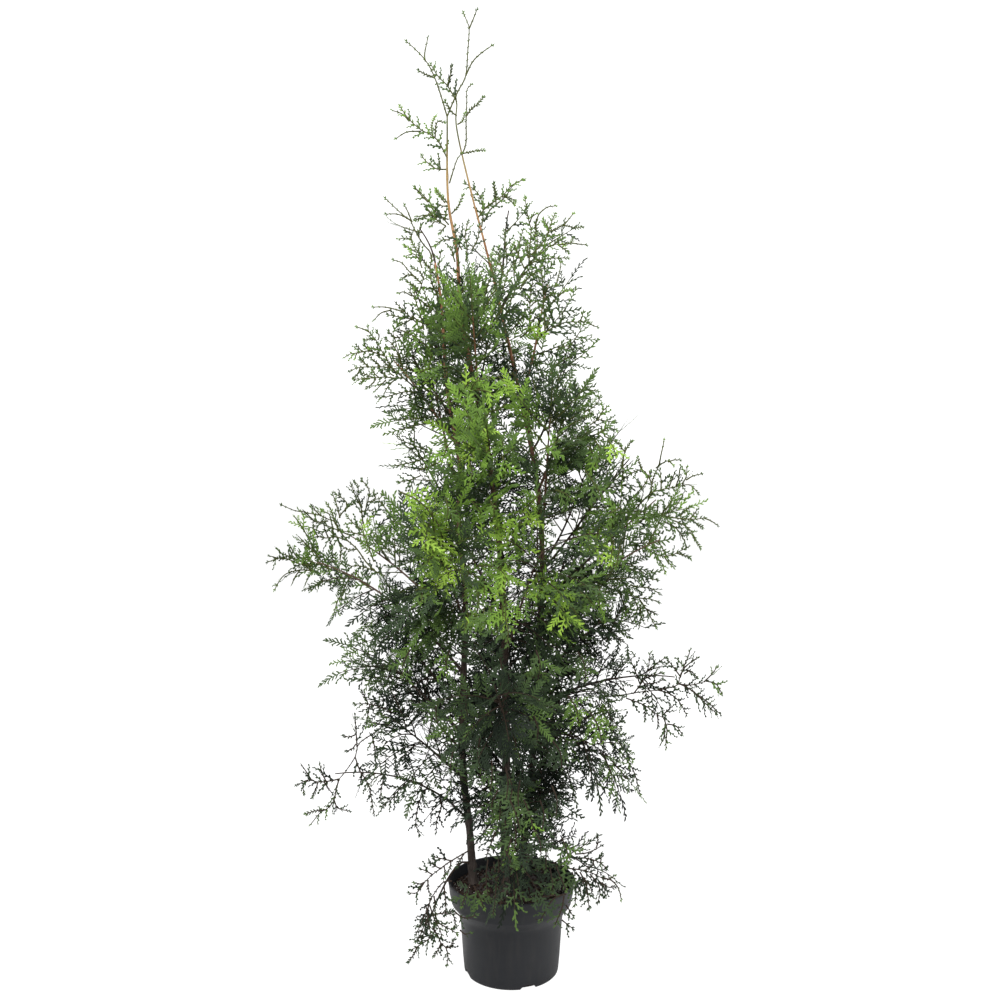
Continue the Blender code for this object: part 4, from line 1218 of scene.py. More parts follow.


# %% [markdown]
# A spray's green carries painted light and shade: the crown is painted fresh green above and in front,
# where the lamp falls, and almost black low down inside, where shade falls. Its tips are lighter, partly as
# new growth and partly as painted light. Two soft patches in front are painted brighter, as pools of sun. A
# branch's sprays share most of their shade, because they share their age and light.

# %% Painted light and shade on the crown
SHADES = 9
# Painted light: how light the crown's green is painted at each height.
LIGHT = ((0.14, 0.25), (0.22, 0.15), (0.30, 0.19), (0.50, 0.28), (0.62, 0.34), (0.75, 0.37), (0.92, 0.42),
         (1.10, 0.46))
MIDDLE_OF_CROWN = ((0.12, -0.01), (0.60, -0.01), (0.85, -0.05), (1.28, -0.09))
OUTSIDE_AT = 0.22
FRONT_FROM, FRONT_OVER = 0.02, 0.16
HIGH_FROM, HIGH_OVER = 0.46, 0.20
PLAIN_FRONT = 0.05
# Patches in front painted brighter, as pools of sunlight.
Patch = namedtuple("Patch", "x z half_width half_height gain")
SUNNY = (Patch(-0.055, 0.800, 0.085, 1.0, 0.18), Patch(0.085, 0.585, 0.070, 0.060, 0.20))
# Painted shade darkens the crown's middle; tips are lighter, partly new growth and partly painted light.
OUTSIDE_GAIN = 0.12
TIP_GAIN = 0.20
TONE_GAIN, BRIGHT_GAIN = 0.10, 0.045
SHADE_SPREAD = 0.05
LIGHTEST = 0.999


def painted_shade_of(at, share, tone, dice):
    """Which green a spray takes, from 0, darkest, to SHADES - 1: light and shade painted into its colour."""
    x, y, z = at
    # Painted light and shade: lighter higher up, in front, in the sunny patches and towards the outside.
    lit = float(np.interp(z, *zip(*LIGHT)))
    front = within((-y - FRONT_FROM) / FRONT_OVER, 0.0, 1.0) * within((z - HIGH_FROM) / HIGH_OVER, 0.0, 1.0)
    sunny = sum(patch.gain * math.exp(-((x - patch.x) / patch.half_width) ** 2
                                      - ((z - patch.z) / patch.half_height) ** 2) for patch in SUNNY)
    outside = min(math.hypot(x - np.interp(z, *zip(*MIDDLE_OF_CROWN)), y) / OUTSIDE_AT, 1.0)
    score = lit + (sunny - PLAIN_FRONT) * front + OUTSIDE_GAIN * (outside - 0.5) + TIP_GAIN * (share - 0.5)
    score += TONE_GAIN * tone + BRIGHT_GAIN * max(tone, 0.0) ** 2 + dice.gauss(0.0, SHADE_SPREAD)
    return int(within(score, 0.0, LIGHTEST) * SHADES)


# %% [markdown]
# Each spray is described by where it is, which way it points, which way it faces, its pattern, its size, its
# shade of green and its share of the way along its branch. The crown's top is wispy, so it bears only a share
# of its branches.

# %% Sprays of one branch
Spray = namedtuple("Spray", "at ahead facing pattern size shade share")
FULLNESS = ((0.24, 1.00), (0.30, 0.84), (0.60, 0.86), (0.68, 0.80), (0.78, 0.88), (0.86, 1.0), (0.93, 0.58),
            (1.25, 0.46))
SPRAY_ANGLES = (56, 36)
SPRAY_START = 0.10
SPRAY_RISE = (0.60, 2.0)
SPRAY_LIFT = 0.14
SPRAY_WANDER = (0.88, 1.12)
SPRAY_SCALES = (0.72, 1.05)
TIP_SHARE = 0.34
LARGE_FROM, MEDIUM_FROM = 0.046, 0.030


def fullness(height):
    """The share of branches that the crown bears at a height."""
    return float(np.interp(height, *zip(*FULLNESS)))


def sprays_on(branch, dice):
    """The sprays of one branch, left and right in turn, and one at its tip."""
    path, normal, habit = branch.path, branch.normal, branch.habit
    length = length_of(path)
    end = 1 - TIP_SHARE
    count = max(round(length * (end - SPRAY_START) / habit.gap), 2)
    made = []
    for i in range(count + 1):
        share = SPRAY_START + (end - SPRAY_START) * i / count
        at, way = at_share(path, share)
        up = unit(normal - way * normal.dot(way))
        tip = i == count
        lean = SPRAY_ANGLES[0] + (SPRAY_ANGLES[1] - SPRAY_ANGLES[0]) * share
        angle = math.radians(lean + dice.uniform(-ANGLE_WANDER, ANGLE_WANDER))
        side = 0.0 if tip else math.copysign(math.sin(angle), (-1) ** i)
        ahead = 1.0 if tip else math.cos(angle)
        out = unit(way * ahead + np.cross(up, way) * side + up * dice.gauss(0.0, SPRAY_LIFT))
        grown = TIP_SHARE / habit.share if tip else profile(share, *SPRAY_RISE)
        size = habit.share * length * grown * dice.uniform(*SPRAY_WANDER)
        large, medium, small = habit.patterns
        kind = dice.choice(large if size > LARGE_FROM else medium if size > MEDIUM_FROM else small)
        scale = within(size / PATTERN_LENGTHS[kind], *SPRAY_SCALES)
        shade = painted_shade_of(at + out * size, share, branch.tone, dice)
        made.append(Spray(at, out, unit(up - out * up.dot(out)), kind, scale, shade, share))
    return made


# %% [markdown]
# The leaders have so few shoots that each one shows against the sky, so they are written out one by one, in
# millimetres: how far the shoot's end stands away from the viewer, and its points across and up. A word is
# the dress of the shoots that follow it. Beads are the small single scales of a bare shoot, and teeth are the
# scales of a fuller one. A comb bears short side shoots, an antler bears narrow fronds, and a plume or a glow
# bears broad ones in lighter greens: partly the fresh green of young shoots, and partly painted light, which
# is strongest on a glow.

# %% Leaders
Dress = namedtuple("Dress", "spacing scale sides longest shortest lift")
# A dress's lift paints its shoots' sprays lighter: painted light, partly also the fresh green of young
# shoots.
DRESSES = {
    "bead": Dress(0.0095, 0.62, (), 0.0, 0.0, 0.0),
    "teeth": Dress(0.0046, 1.00, (), 0.0, 0.0, 0.0),
    "comb": Dress(0.0085, 1.00, SHOOTS[1:], 0.024, 0.013, 0.0),
    "antler": Dress(0.0088, 1.00, NARROW, 0.030, 0.014, 0.3),
    "plume": Dress(0.0075, 1.00, MEDIUM + SMALL, 0.034, 0.020, 0.9),
    "glow": Dress(0.0070, 1.00, MEDIUM + SMALL, 0.035, 0.020, 1.9),
}
LEADERS = {
    "leader_left": """
    bead -10 -94 1268 -105 1304 -115 1330 -126 1348 -140 1362 -151 1371, 14 -126 1348 -127 1362 -123 1387,
    teeth -12 -112 1324 -124 1327 -134 1330
    """,
    "leader_right": """
    bead 6 -94 1268 -85 1290 -77 1307 -67 1327 -64 1362 -62 1395 -66 1408 -70 1418,
    -6 -62 1394 -56 1407 -51 1418, -22 -67 1327 -57 1345 -44 1355 -29 1362,
    comb 12 -80 1290 -94 1314 -107 1328 -118 1347, teeth -14 -94 1314 -89 1325 -87 1336,
    bead 8 -80 1286 -82 1305 -81 1322, 20 -72 1217 -67 1234 -67 1266 -66 1296 -66 1314 -60 1323,
    teeth -12 -67 1268 -58 1280 -50 1284 -42 1292, -14 -72 1217 -62 1218 -50 1219 -41 1218,
    10 -79 1258 -72 1264 -69 1276, -10 -80 1270 -89 1276 -96 1287,
    bead 6 -91 1172 -85 1192 -80 1207 -74 1216
    """,
    "sprig_left": """
    comb -16 -94 1208 -105 1229 -115 1239 -132 1247 -149 1261 -161 1277,
    bead 10 -132 1247 -153 1247 -169 1240, -12 -149 1261 -159 1270 -172 1273,
    teeth 16 -115 1239 -117 1257 -113 1272, -10 -112 1237 -109 1258 -98 1257,
    comb 12 -95 1192 -111 1194 -126 1206 -132 1215, teeth -18 -104 1192 -106 1208
    """,
    "stem_left_top": """
    comb -16 -92 1112 -115 1138 -128 1152 -140 1162, teeth 12 -93 1142 -101 1153 -109 1162,
    comb -14 -92 1120 -120 1125 -138 1121
    """,
    "sprig_right": """
    teeth -10 -88 1128 -78 1138 -71 1152, comb -14 -51 1123 -38 1140 -23 1150 -11 1158 0 1170 16 1177,
    teeth 14 -11 1158 4 1148, -16 -23 1150 -26 1170, comb 12 -44 1112 -42 1138 -49 1162 -67 1178
    """,
}
SHOOT_RADII = (0.0012, 0.0007)
SHOOT_SAMPLES = 24
MILLIMETRE = 0.001
AWAY_LATE = 1.3


def depth_on_plant(x, z):
    """How deep a stem stands at a height, taking the stem nearest across."""
    rows = [line[min(int(np.searchsorted(line[:, 2], z)), len(line) - 1)] for line in stem_lines.values()]
    return min(rows, key=lambda row: abs(row[0] - x) + max(z - row[2], 0.0))[1]


def leader_path(away, points):
    """The smooth path of a leader's shoot: how far its end stands away, and its points across and up."""
    first = depth_on_plant(*points[0])
    share = np.linspace(0.0, 1.0, len(points)) ** AWAY_LATE
    return smooth_line([(x, first + away * s, z) for (x, z), s in zip(points, share)], SHOOT_SAMPLES)


def shoots_in(table):
    """Each shoot of a table: its dress and its numbers."""
    for row in filter(str.strip, table.split(",")):
        values = row.split()
        if values[0] in DRESSES:
            dress = DRESSES[values.pop(0)]
        yield dress, [int(value) for value in values]


def in_pairs(numbers, unit_size=1.0):
    """A flat row of numbers as points."""
    return [(a * unit_size, b * unit_size) for a, b in zip(numbers[::2], numbers[1::2])]


# %% Dress one shoot
SHOOT_LOOSE = 0.35
TONE_SPREAD = 0.8
BARE_END = 0.008
SIDE_ANGLES = (36, 56)
SIDE_WANDER = (0.8, 1.15)
SIDE_SCALES = (0.55, 1.2)
KIND_WANDER = 0.006
PAIR_WANDER = (0.75, 1.2)
TUFT_SIZE = 0.9
TUFT_SHARE = 0.8


def shoot_parts(path, dress, dice):
    """The scales, side shoots and fronds on a shoot."""
    length, parts = length_of(path), []
    # The dress's lift paints this shoot's sprays lighter, as painted light.
    tone = dice.gauss(dress.lift, TONE_SPREAD)
    for i in range(1, int(length / dress.spacing) + 1):
        share = i * dress.spacing / length
        at, way = at_share(path, share)
        normal = facing(way, at, dice, SHOOT_LOOSE)
        shade = painted_shade_of(at, share, tone, dice)
        if dress.sides and i * dress.spacing < length - BARE_END:
            angle = math.radians(dice.uniform(*SIDE_ANGLES)) * (-1) ** i
            out = way * math.cos(angle) + np.cross(normal, way) * math.sin(angle)
            size = (dress.longest + (dress.shortest - dress.longest) * share) * dice.uniform(*SIDE_WANDER)
            kind = min(dress.sides,
                       key=lambda k: abs(PATTERN_LENGTHS[k] - size) + dice.uniform(0.0, KIND_WANDER))
            scale = within(size / PATTERN_LENGTHS[kind], *SIDE_SCALES)
            parts.append(Spray(at, out, normal, kind, scale, shade, share))
        parts.append(Spray(at, way, normal, PAIR, dress.scale * dice.uniform(*PAIR_WANDER), shade, share))
    at, way = at_share(path, 1.0)
    normal = facing(way, at, dice, SHOOT_LOOSE)
    parts.append(Spray(at, way, normal, TUFT, TUFT_SIZE, painted_shade_of(at, TUFT_SHARE, tone, dice), 1.0))
    return parts


# %% [markdown]
# ## Shoots at the crown's edge
#
# Against the sky every shoot shows, so those of the outer zones are written out as well, and so are the
# bright ones in front. Their points are given as they are sighted through the camera, across and down in
# thousandths of the picture's side, and each zone lies in one gently waving sheet at its own depth. Inside a
# zone only a share of the crown's own growth is kept, which makes room for them, and a zone without shoots
# only thins the crown.

# %% Zones
Zone = namedtuple("Zone", "left top right bottom keep depth wave shoots")
ZONES = (
    Zone(340, 185, 436, 312, 0.10, -0.010, 0.8, """
    bead 432 262 430 252 424 245 418 236 413 226 410 220 402 214 386 199, 410 220 403 216 396 214 387 214,
    412 222 408 212 405 206, teeth 419 238 419 232 421 226,
    436 276 426 264 419 254 413 244 410 239 405 238 399 239, 411 240 411 233 406 231,
    421 262 419 252 419 244, comb 422 268 418 258 413 254 406 256, teeth 416 252 409 248 405 246,
    bead 422 284 414 276 408 270 402 263 394 260, teeth 414 276 407 275 402 279, 424 280 420 272 413 268,
    421 294 414 286 407 281, 421 300 413 296 410 290 415 288, bead 412 296 404 292 399 293,
    comb 418 324 406 313 397 304, bead 404 312 394 309 384 307 374 307, 391 310 381 313 374 320,
    comb 412 319 400 317 389 315, teeth 410 320 402 324 395 322, comb 440 300 432 284 430 270 432 256,
    444 290 440 275 439 262 441 252
    """),
    Zone(425, 185, 500, 250, 0.30, -0.012, 0.0, """
    comb 447 215 440 214 434 211 431 207, 446 226 438 221 432 214 427 208, teeth 431 213 424 217 416 220,
    438 222 434 222 431 226, 446 226 443 229 440 233, 450 240 442 240 436 245, 447 206 443 206 439 205,
    445 203 440 196 436 190, bead 428 202 421 195 416 189, antler 466 262 467 248 465 236 468 222,
    comb 462 250 456 238 455 226, 472 250 478 238 479 226, 455 262 452 250 456 240
    """),
    Zone(500, 180, 612, 335, 0.30, 0.005, 1.0, """
    comb 529 262 530 245 531 230 529 222 527 212 526 205 525 198, bead 527 216 524 213 519 213,
    530 222 532 217 536 214, 535 228 538 216 542 211 548 207 555 206,
    comb 531 255 540 246 547 236 549 230 551 224 553 218 555 214, teeth 549 230 547 225 544 221,
    549 231 555 230 561 226 568 226 575 228 582 227, bead 564 225 569 219 573 214,
    antler 530 262 542 252 550 246 558 244 564 245, teeth 552 246 558 241 563 238, 558 245 564 249 568 252,
    558 245 566 244 571 243 573 238, bead 571 243 578 244 586 245,
    comb 524 268 534 262 545 259 556 258 567 258, 515 264 519 250 520 240 523 230,
    507 264 506 250 505 240 504 231, 505 258 498 255 494 250, 534 258 537 246 537 233,
    teeth 533 240 536 230 536 222, 528 258 527 245 524 239, comb 545 332 544 312 543 292 542 278 541 266,
    teeth 543 280 538 277 534 275, 542 278 545 275 548 273, 543 294 548 288 556 285,
    544 302 549 296 554 293, 545 312 550 304 556 300, bead 556 287 558 278 560 270 561 263,
    teeth 558 297 562 293 566 290 571 290, comb 530 330 530 316 530 302 531 290 533 280,
    teeth 530 304 527 299 523 295, 531 306 535 302 540 301, 531 313 536 309 541 306,
    531 321 536 318 540 315, 528 320 523 315 519 311,
    antler 543 334 552 328 560 324 568 322 578 322 588 322, bead 588 322 592 325 597 327,
    teeth 580 321 582 317 583 313, 560 324 563 317 562 311, antler 545 330 549 320 551 312,
    bead 484 222 490 210 498 203 506 196 514 184 523 180, teeth 502 197 508 197 515 201,
    496 204 496 194 494 184
    """),
    Zone(258, 475, 372, 625, 0.28, -0.010, 1.0, """
    bead 376 572 366 562 357 549 347 540 339 530 334 521 327 519 320 515 312 514 304 512 296 511 288 508 282
    505, comb 385 576 372 570 360 566 350 566 343 562 336 562 328 560 322 557,
    teeth 357 549 350 550 345 548 341 545, 340 560 341 549 338 540 335 535, 332 562 332 550 330 540,
    antler 348 541 336 537 326 538 318 536 314 530 313 523, teeth 328 537 325 530 324 524,
    333 538 333 530 331 520 329 514 323 511, 338 532 337 525 334 520 331 510 327 504,
    comb 340 518 338 510 336 503 333 495, 345 512 347 504 343 499 336 494,
    teeth 339 518 342 513 349 506 354 503, 320 515 315 510 312 506, 328 521 316 522 308 515 304 511,
    plume 352 577 338 572 328 568 318 564 308 560 298 556, 330 572 322 562 314 552 306 544 298 536,
    320 560 312 545 306 534 300 524 294 516, 318 574 306 566 296 556 290 546,
    antler 312 565 300 564 290 560 280 558 268 562, comb 298 560 288 556 281 553 277 549,
    teeth 288 559 278 558 270 556, antler 318 572 305 570 295 571 286 574 280 580 275 589,
    teeth 312 572 308 578 305 585, 300 570 295 577 292 584, comb 346 586 334 583 326 580 318 585 304 590,
    teeth 322 580 317 584 311 591, plume 354 572 347 582 342 594 341 604,
    comb 345 590 338 600 335 610 333 618, plume 374 562 368 546 364 534 361 522, 390 552 380 542 372 532,
    372 590 362 582 356 572, comb 363 524 361 508 357 500 353 490 351 484, 362 508 358 497 358 486 355 482,
    364 516 368 500 369 490 362 480, teeth 368 502 375 500 374 492,
    comb 395 520 388 512 383 505 379 500 382 496, 361 512 369 510 375 512, 362 530 352 522 347 516,
    366 536 354 533 343 531
    """),
    Zone(640, 430, 735, 632, 0.22, -0.010, 1.0, """
    comb 636 508 650 494 660 490 670 488 680 486 690 485 698 493, 661 489 661 480 660 471,
    669 487 672 479 675 472, 676 486 679 477 680 469, 682 484 686 477 687 468, bead 686 480 693 476 701 474,
    teeth 648 500 651 492 652 482 655 474 659 466, bead 659 466 661 455 663 446 664 440,
    teeth 656 468 663 463 668 461 673 465, bead 668 462 674 460 679 460,
    comb 652 484 648 476 642 470 634 472 628 476 620 482, teeth 642 470 640 464 638 458,
    bead 623 480 623 466 624 456 625 449, teeth 625 452 620 446 616 441, 625 452 628 446 631 442,
    antler 632 524 642 520 652 517 662 515 672 511 680 500 683 494, comb 660 516 667 507 673 498 676 494,
    652 519 657 510 658 503, 664 516 676 518 686 519 696 519 704 518, bead 704 518 711 521 717 525,
    teeth 690 519 694 514 697 510, 680 516 686 510 690 507, 690 519 697 524 702 527,
    comb 672 520 682 524 690 530 695 538, 665 522 676 528 684 540 686 547,
    teeth 680 534 690 533 695 540 700 547, antler 630 545 642 546 652 552 662 556 672 555 680 551 688 547,
    comb 655 556 661 562 665 572, teeth 664 556 668 562 673 567, 676 553 683 555 688 557,
    plume 625 546 636 544 648 543 658 543, 606 522 620 514 634 511 646 513 655 519,
    620 560 632 565 642 572 652 578, comb 630 585 640 587 650 588 660 594, 640 575 648 578 657 580,
    628 595 640 598 650 599 658 602, plume 618 578 628 588 634 599 640 612, comb 622 600 628 612 632 622,
    640 605 641 617 639 627, 640 600 648 612 652 620 656 627, teeth 645 608 652 612 657 614,
    comb 618 590 624 604 626 616, 606 642 611 630 616 618 622 608, 600 642 612 634 622 640,
    plume 640 532 650 536 660 544 666 556, antler 630 500 640 490 646 482 650 472
    """),
    Zone(636, 632, 735, 765, 0.08, 0.000, 0.7, """
    bead 600 697 622 695 640 692 658 690, comb 658 690 672 687 678 684 680 676,
    antler 680 678 684 666 688 657 690 650, comb 684 668 691 662 697 658, 684 674 690 671 697 677,
    680 676 674 668 668 660, 678 684 690 685 700 683 706 681, antler 704 682 712 674 717 667,
    comb 706 681 716 684 722 694, 680 684 688 688 696 694 705 700 713 707 720 714,
    antler 692 690 700 698 708 706 716 713, comb 658 690 668 693 676 698 682 706 686 714,
    626 698 642 704 650 709 658 715 664 718, 662 716 668 710 674 705, teeth 646 706 645 713 645 720,
    657 715 658 720 658 726, antler 664 718 667 730 666 740 666 748, comb 665 724 664 736 660 746,
    667 724 676 726 682 734, antler 634 693 642 682 648 668 650 655, comb 647 672 656 664 665 658,
    646 678 654 675 662 673, 644 684 654 683 663 680, 640 684 634 668 628 655,
    plume 596 700 608 722 620 744 632 760, comb 604 705 612 720 620 727, 610 742 624 756 634 772 640 794
    """),
    Zone(285, 700, 352, 845, 0.0, 0.010, 0.6, """
    bead 404 712 395 720 385 724 376 732 366 738 358 745 355 757 345 772 339 779,
    comb 339 779 330 781 318 782 308 780 297 785, 326 781 322 773 320 765, 312 781 307 773 301 764,
    teeth 308 780 303 786 304 793, 318 782 316 789 313 796, 324 782 328 788 332 793,
    comb 339 779 336 790 334 800 328 808 320 813 311 824, teeth 326 810 315 811 306 814,
    comb 334 800 338 808 349 811, 355 757 360 771 366 780 370 790 372 803 374 814,
    antler 357 747 356 730 355 715, teeth 355 735 349 737 344 736, 356 744 352 749 347 751,
    comb 395 714 380 707 368 704 355 704, teeth 368 704 365 697 362 692, comb 370 704 368 714 367 723,
    415 778 405 785 397 792 391 800 382 806, 428 786 420 800 417 812 416 824 419 834,
    440 794 441 808 437 820 436 832, 386 770 382 785 380 800, antler 372 735 375 750 376 766
    """),
    Zone(396, 846, 462, 975, 0.0, -0.048, 0.0, """
    bead 470 850 458 857 448 863 440 869 432 875 426 881 421 886, comb 452 861 443 859 434 857,
    441 869 435 866 431 863, 433 875 426 871 421 869, teeth 425 882 420 884 415 883,
    comb 424 883 420 889 416 893 410 893, teeth 428 880 428 888 430 894, 444 866 445 872 444 877,
    451 861 450 868 447 873, 464 854 460 860 457 866, bead 452 881 444 882 438 888 434 894 431 898,
    comb 431 898 428 908 424 917 420 926 416 934, 428 908 429 920 430 930 432 938,
    430 914 424 926 420 936 417 941, teeth 434 896 435 905 435 914, comb 444 885 445 895 446 905 445 914,
    435 914 438 922 444 926 450 929 456 933, teeth 436 914 444 913 452 911, 446 914 452 914 455 920 455 927,
    comb 433 928 438 936 441 943 446 948 448 956 447 964, teeth 446 948 451 946 454 940,
    441 943 438 950 434 956, antler 436 930 430 938 420 945 411 950, teeth 417 947 414 954 409 961,
    antler 430 906 434 918 440 930 442 938, 426 906 428 918 424 932 421 942
    """),
    Zone(462, 850, 530, 960, 0.55, -0.120, 0.3, """
    antler 455 912 462 917 469 918 476 915, 460 930 465 934 470 933, plume 470 884 466 894 462 906,
    474 886 480 898 484 908, teeth 494 862 496 880 495 900 493 915, comb 488 860 486 878 488 896,
    504 870 503 890 500 906, 498 856 499 868 497 882
    """),
    Zone(575, 834, 640, 945, 0.12, -0.050, 0.0, """
    antler 552 864 566 857 576 850 583 846 589 841, bead 575 854 586 853 594 850 601 846,
    teeth 596 848 598 842 597 836, comb 572 858 584 858 594 860 602 864 606 868,
    teeth 594 860 592 866 586 870, 600 863 601 860 601 856, antler 566 868 582 870 592 873 602 878,
    bead 602 878 611 880 617 886 620 893 621 899, teeth 607 880 611 878 614 876,
    comb 590 874 598 884 600 893 598 902, 598 880 604 887 605 895, 600 882 608 887 614 887,
    580 872 586 884 588 896 589 908, 582 876 590 886 592 894, 576 872 584 884 586 892 582 899,
    572 872 577 886 580 892, 574 880 576 892 575 904, 566 905 570 911 573 916, 562 920 567 924 572 928,
    plume 550 868 558 866 566 866
    """),
    Zone(528, 846, 575, 930, 0.70, -0.116, 0.3, """
    plume 546 850 546 858 546 870, 556 866 560 876 566 890, 550 868 552 880 553 892,
    antler 566 894 556 897 550 903 545 912 540 921, 564 896 562 908 558 918 555 925,
    556 895 548 896 540 898 534 905
    """),
    Zone(330, 322, 408, 402, 0.08, 0.000, 0.8, """
    comb 412 385 400 375 392 368 386 358 380 348 376 340 369 332 368 327, teeth 376 340 370 339 365 340,
    378 340 379 336 377 332, bead 369 332 363 329 357 327,
    comb 384 356 376 353 368 351 362 352 356 353 350 354 345 357, teeth 372 351 367 349 365 346,
    362 352 359 348 357 346, 357 353 356 355 355 358, 378 350 373 348 369 348,
    comb 396 369 384 367 372 367 364 367 357 368 350 371, teeth 368 366 364 363 361 360,
    380 366 376 362 372 359, 360 368 358 373 354 378, 390 367 384 362 379 356,
    comb 404 378 394 378 384 377 374 378 367 378 360 379 354 379, teeth 372 377 367 375 362 373,
    378 377 374 373 372 369, 386 376 383 373 380 370, 394 376 391 374 388 371, 368 378 364 380 361 383,
    376 379 372 384 367 388, comb 386 380 380 386 375 391, 396 379 390 384 386 390 384 394,
    404 372 400 362 397 352 392 344 386 339, teeth 392 344 395 342 398 341, 394 347 391 347 388 348,
    comb 402 360 408 353 412 345 415 338, teeth 398 357 394 356 391 355,
    comb 420 385 418 372 414 360 412 350, teeth 416 364 409 362 404 362, 417 371 410 369 405 370,
    418 377 412 376 406 376, comb 425 396 412 392 404 392 396 394 386 397 377 397,
    416 330 408 332 400 337 394 337, teeth 404 338 401 334 399 331, 396 338 392 335 389 332,
    comb 428 450 418 447 410 444 402 440 398 436, 424 458 414 462 404 464 394 466, 420 476 410 480 400 482
    """),
    Zone(384, 400, 440, 486, 0.45, 0.000, 0.0, ""),
    Zone(408, 262, 470, 330, 1.0, -0.040, 0.6, """
    antler 440 336 434 320 428 304 424 290, 436 320 438 304 436 288 437 274,
    424 330 420 314 416 302 414 290, plume 412 316 420 322 430 326, antler 446 320 446 304 447 290 444 276,
    plume 420 300 428 306 436 312, 415 338 425 345 432 352, 420 372 432 368 444 366,
    440 376 430 380 420 384, glow 440 300 436 312 438 325, 446 312 447 326 450 340, 428 340 432 350 430 362,
    plume 452 330 450 345 452 360, 458 330 462 342 458 352, 400 330 410 334 420 340,
    antler 458 320 457 304 459 290
    """),
    Zone(480, 235, 540, 320, 1.0, -0.030, 0.6, """
    antler 484 300 488 284 494 272 500 258, 500 300 504 286 508 272 514 262,
    510 302 516 288 522 276 530 268, plume 480 312 486 300 496 290, antler 496 284 492 268 492 254,
    plume 500 322 508 312 516 306, antler 512 330 520 320 526 310, plume 520 338 530 330 540 326,
    antler 478 300 477 286 482 272, 504 276 500 262 499 248, 514 276 514 262 511 248,
    520 290 526 280 536 272, 524 268 518 254 514 244, plume 490 330 498 320 500 308
    """),
    Zone(552, 372, 640, 436, 0.35, -0.020, 0.8, """
    comb 552 420 560 410 568 402 576 396 582 390 586 383, 566 402 569 394 570 385, 574 398 576 391 575 382,
    582 391 589 390 597 391, 556 405 559 398 560 392, 584 412 592 408 598 402 600 397,
    590 425 598 420 606 421 615 422, 598 420 602 412 607 407, 598 434 608 428 616 430,
    604 436 612 440 620 444, plume 560 430 572 424 584 418 592 412, 565 445 575 438 588 432,
    antler 570 420 580 410 588 402, comb 548 380 553 370 560 362 570 356, 556 350 566 346 574 350,
    plume 512 372 518 384 522 396, 520 392 525 404 528 416, 526 414 530 426 532 438,
    antler 530 436 534 446 536 456, plume 537 500 541 512 542 524, 540 520 543 532 544 546,
    antler 541 544 544 554 545 566
    """),
    Zone(405, 365, 515, 490, 1.0, -0.150, 1.1, """
    plume 470 392 474 384 482 379 492 378, glow 462 395 466 386 472 381, 498 376 506 384 508 392,
    plume 476 390 486 391 494 395, 446 386 452 392 456 398, 452 404 458 394 460 386,
    glow 463 436 470 426 478 420 486 419, 476 424 482 428 486 434, 460 438 467 446 474 458,
    464 436 472 438 480 446, 444 440 446 448 444 456, 452 450 447 454 442 460, 478 478 484 476 490 481,
    plume 492 430 500 436 504 446, 484 450 490 456 488 468, 505 405 498 410 490 412 484 420,
    470 400 476 410 482 420, 466 396 466 408 468 420, 448 462 454 474 456 486, 470 462 472 474 468 486,
    420 470 430 466 440 462, 502 456 506 466 504 478
    """),
    Zone(400, 490, 515, 632, 0.95, -0.178, 1.1, """
    glow 400 492 410 496 420 502 428 510 434 520, 428 508 422 515 414 520,
    432 512 434 525 434 538 433 550 431 560, 436 520 441 532 443 545 440 556,
    430 522 426 534 425 545 427 556, 462 566 452 560 442 560 432 561 424 564 418 569,
    444 562 436 567 428 573, 470 572 460 570 450 572 441 577 434 583, 452 572 447 578 441 584,
    460 570 472 574 480 579 484 588 484 598, 466 574 472 582 477 592, plume 478 590 478 600 480 610,
    glow 477 566 488 566 497 568 504 574 508 583, 492 558 500 559 506 563 510 570,
    474 542 482 536 490 530 498 527 508 530, plume 470 612 470 620 468 630, glow 478 608 475 618 469 628,
    plume 484 608 483 618 480 630, glow 502 606 503 616 502 630, plume 490 606 492 616 489 628,
    420 586 422 595 421 603, 416 590 424 588 432 592, 446 530 455 532 464 538, 448 540 452 550 452 562,
    470 500 478 508 484 518, 490 500 494 510 492 522, 446 498 448 510 446 522, 500 566 503 578 504 592,
    503 590 506 604 505 618, antler 505 616 508 630 507 644, plume 498 610 496 622 498 636,
    466 604 468 618 464 632
    """),
    Zone(500, 430, 628, 632, 0.95, -0.145, 1.2, """
    glow 522 522 514 530 512 540 508 550, 512 540 518 545 522 553, 540 493 534 500 528 505 523 511 530 520,
    526 508 529 516 532 524, 536 572 538 580 540 590 536 598, 540 578 546 578 552 582,
    538 584 543 586 547 590, plume 550 580 560 586 566 596 568 606, glow 560 604 563 612 567 623,
    plume 566 604 574 610 580 620, 575 585 586 585 596 588, glow 600 588 599 598 600 610,
    plume 580 592 588 598 594 606, glow 620 508 612 512 606 516 600 522 594 530,
    600 522 598 532 596 544 596 553, 608 518 610 530 612 543, 614 540 612 552 610 563,
    plume 620 545 618 556 616 568, 590 530 588 540 590 551, 585 470 592 480 598 490 602 500,
    595 440 600 450 598 460, glow 608 440 613 447 616 456, 588 446 594 456 596 468,
    plume 520 440 512 444 506 452, 540 450 550 446 560 440, 556 490 566 494 574 502
    """),
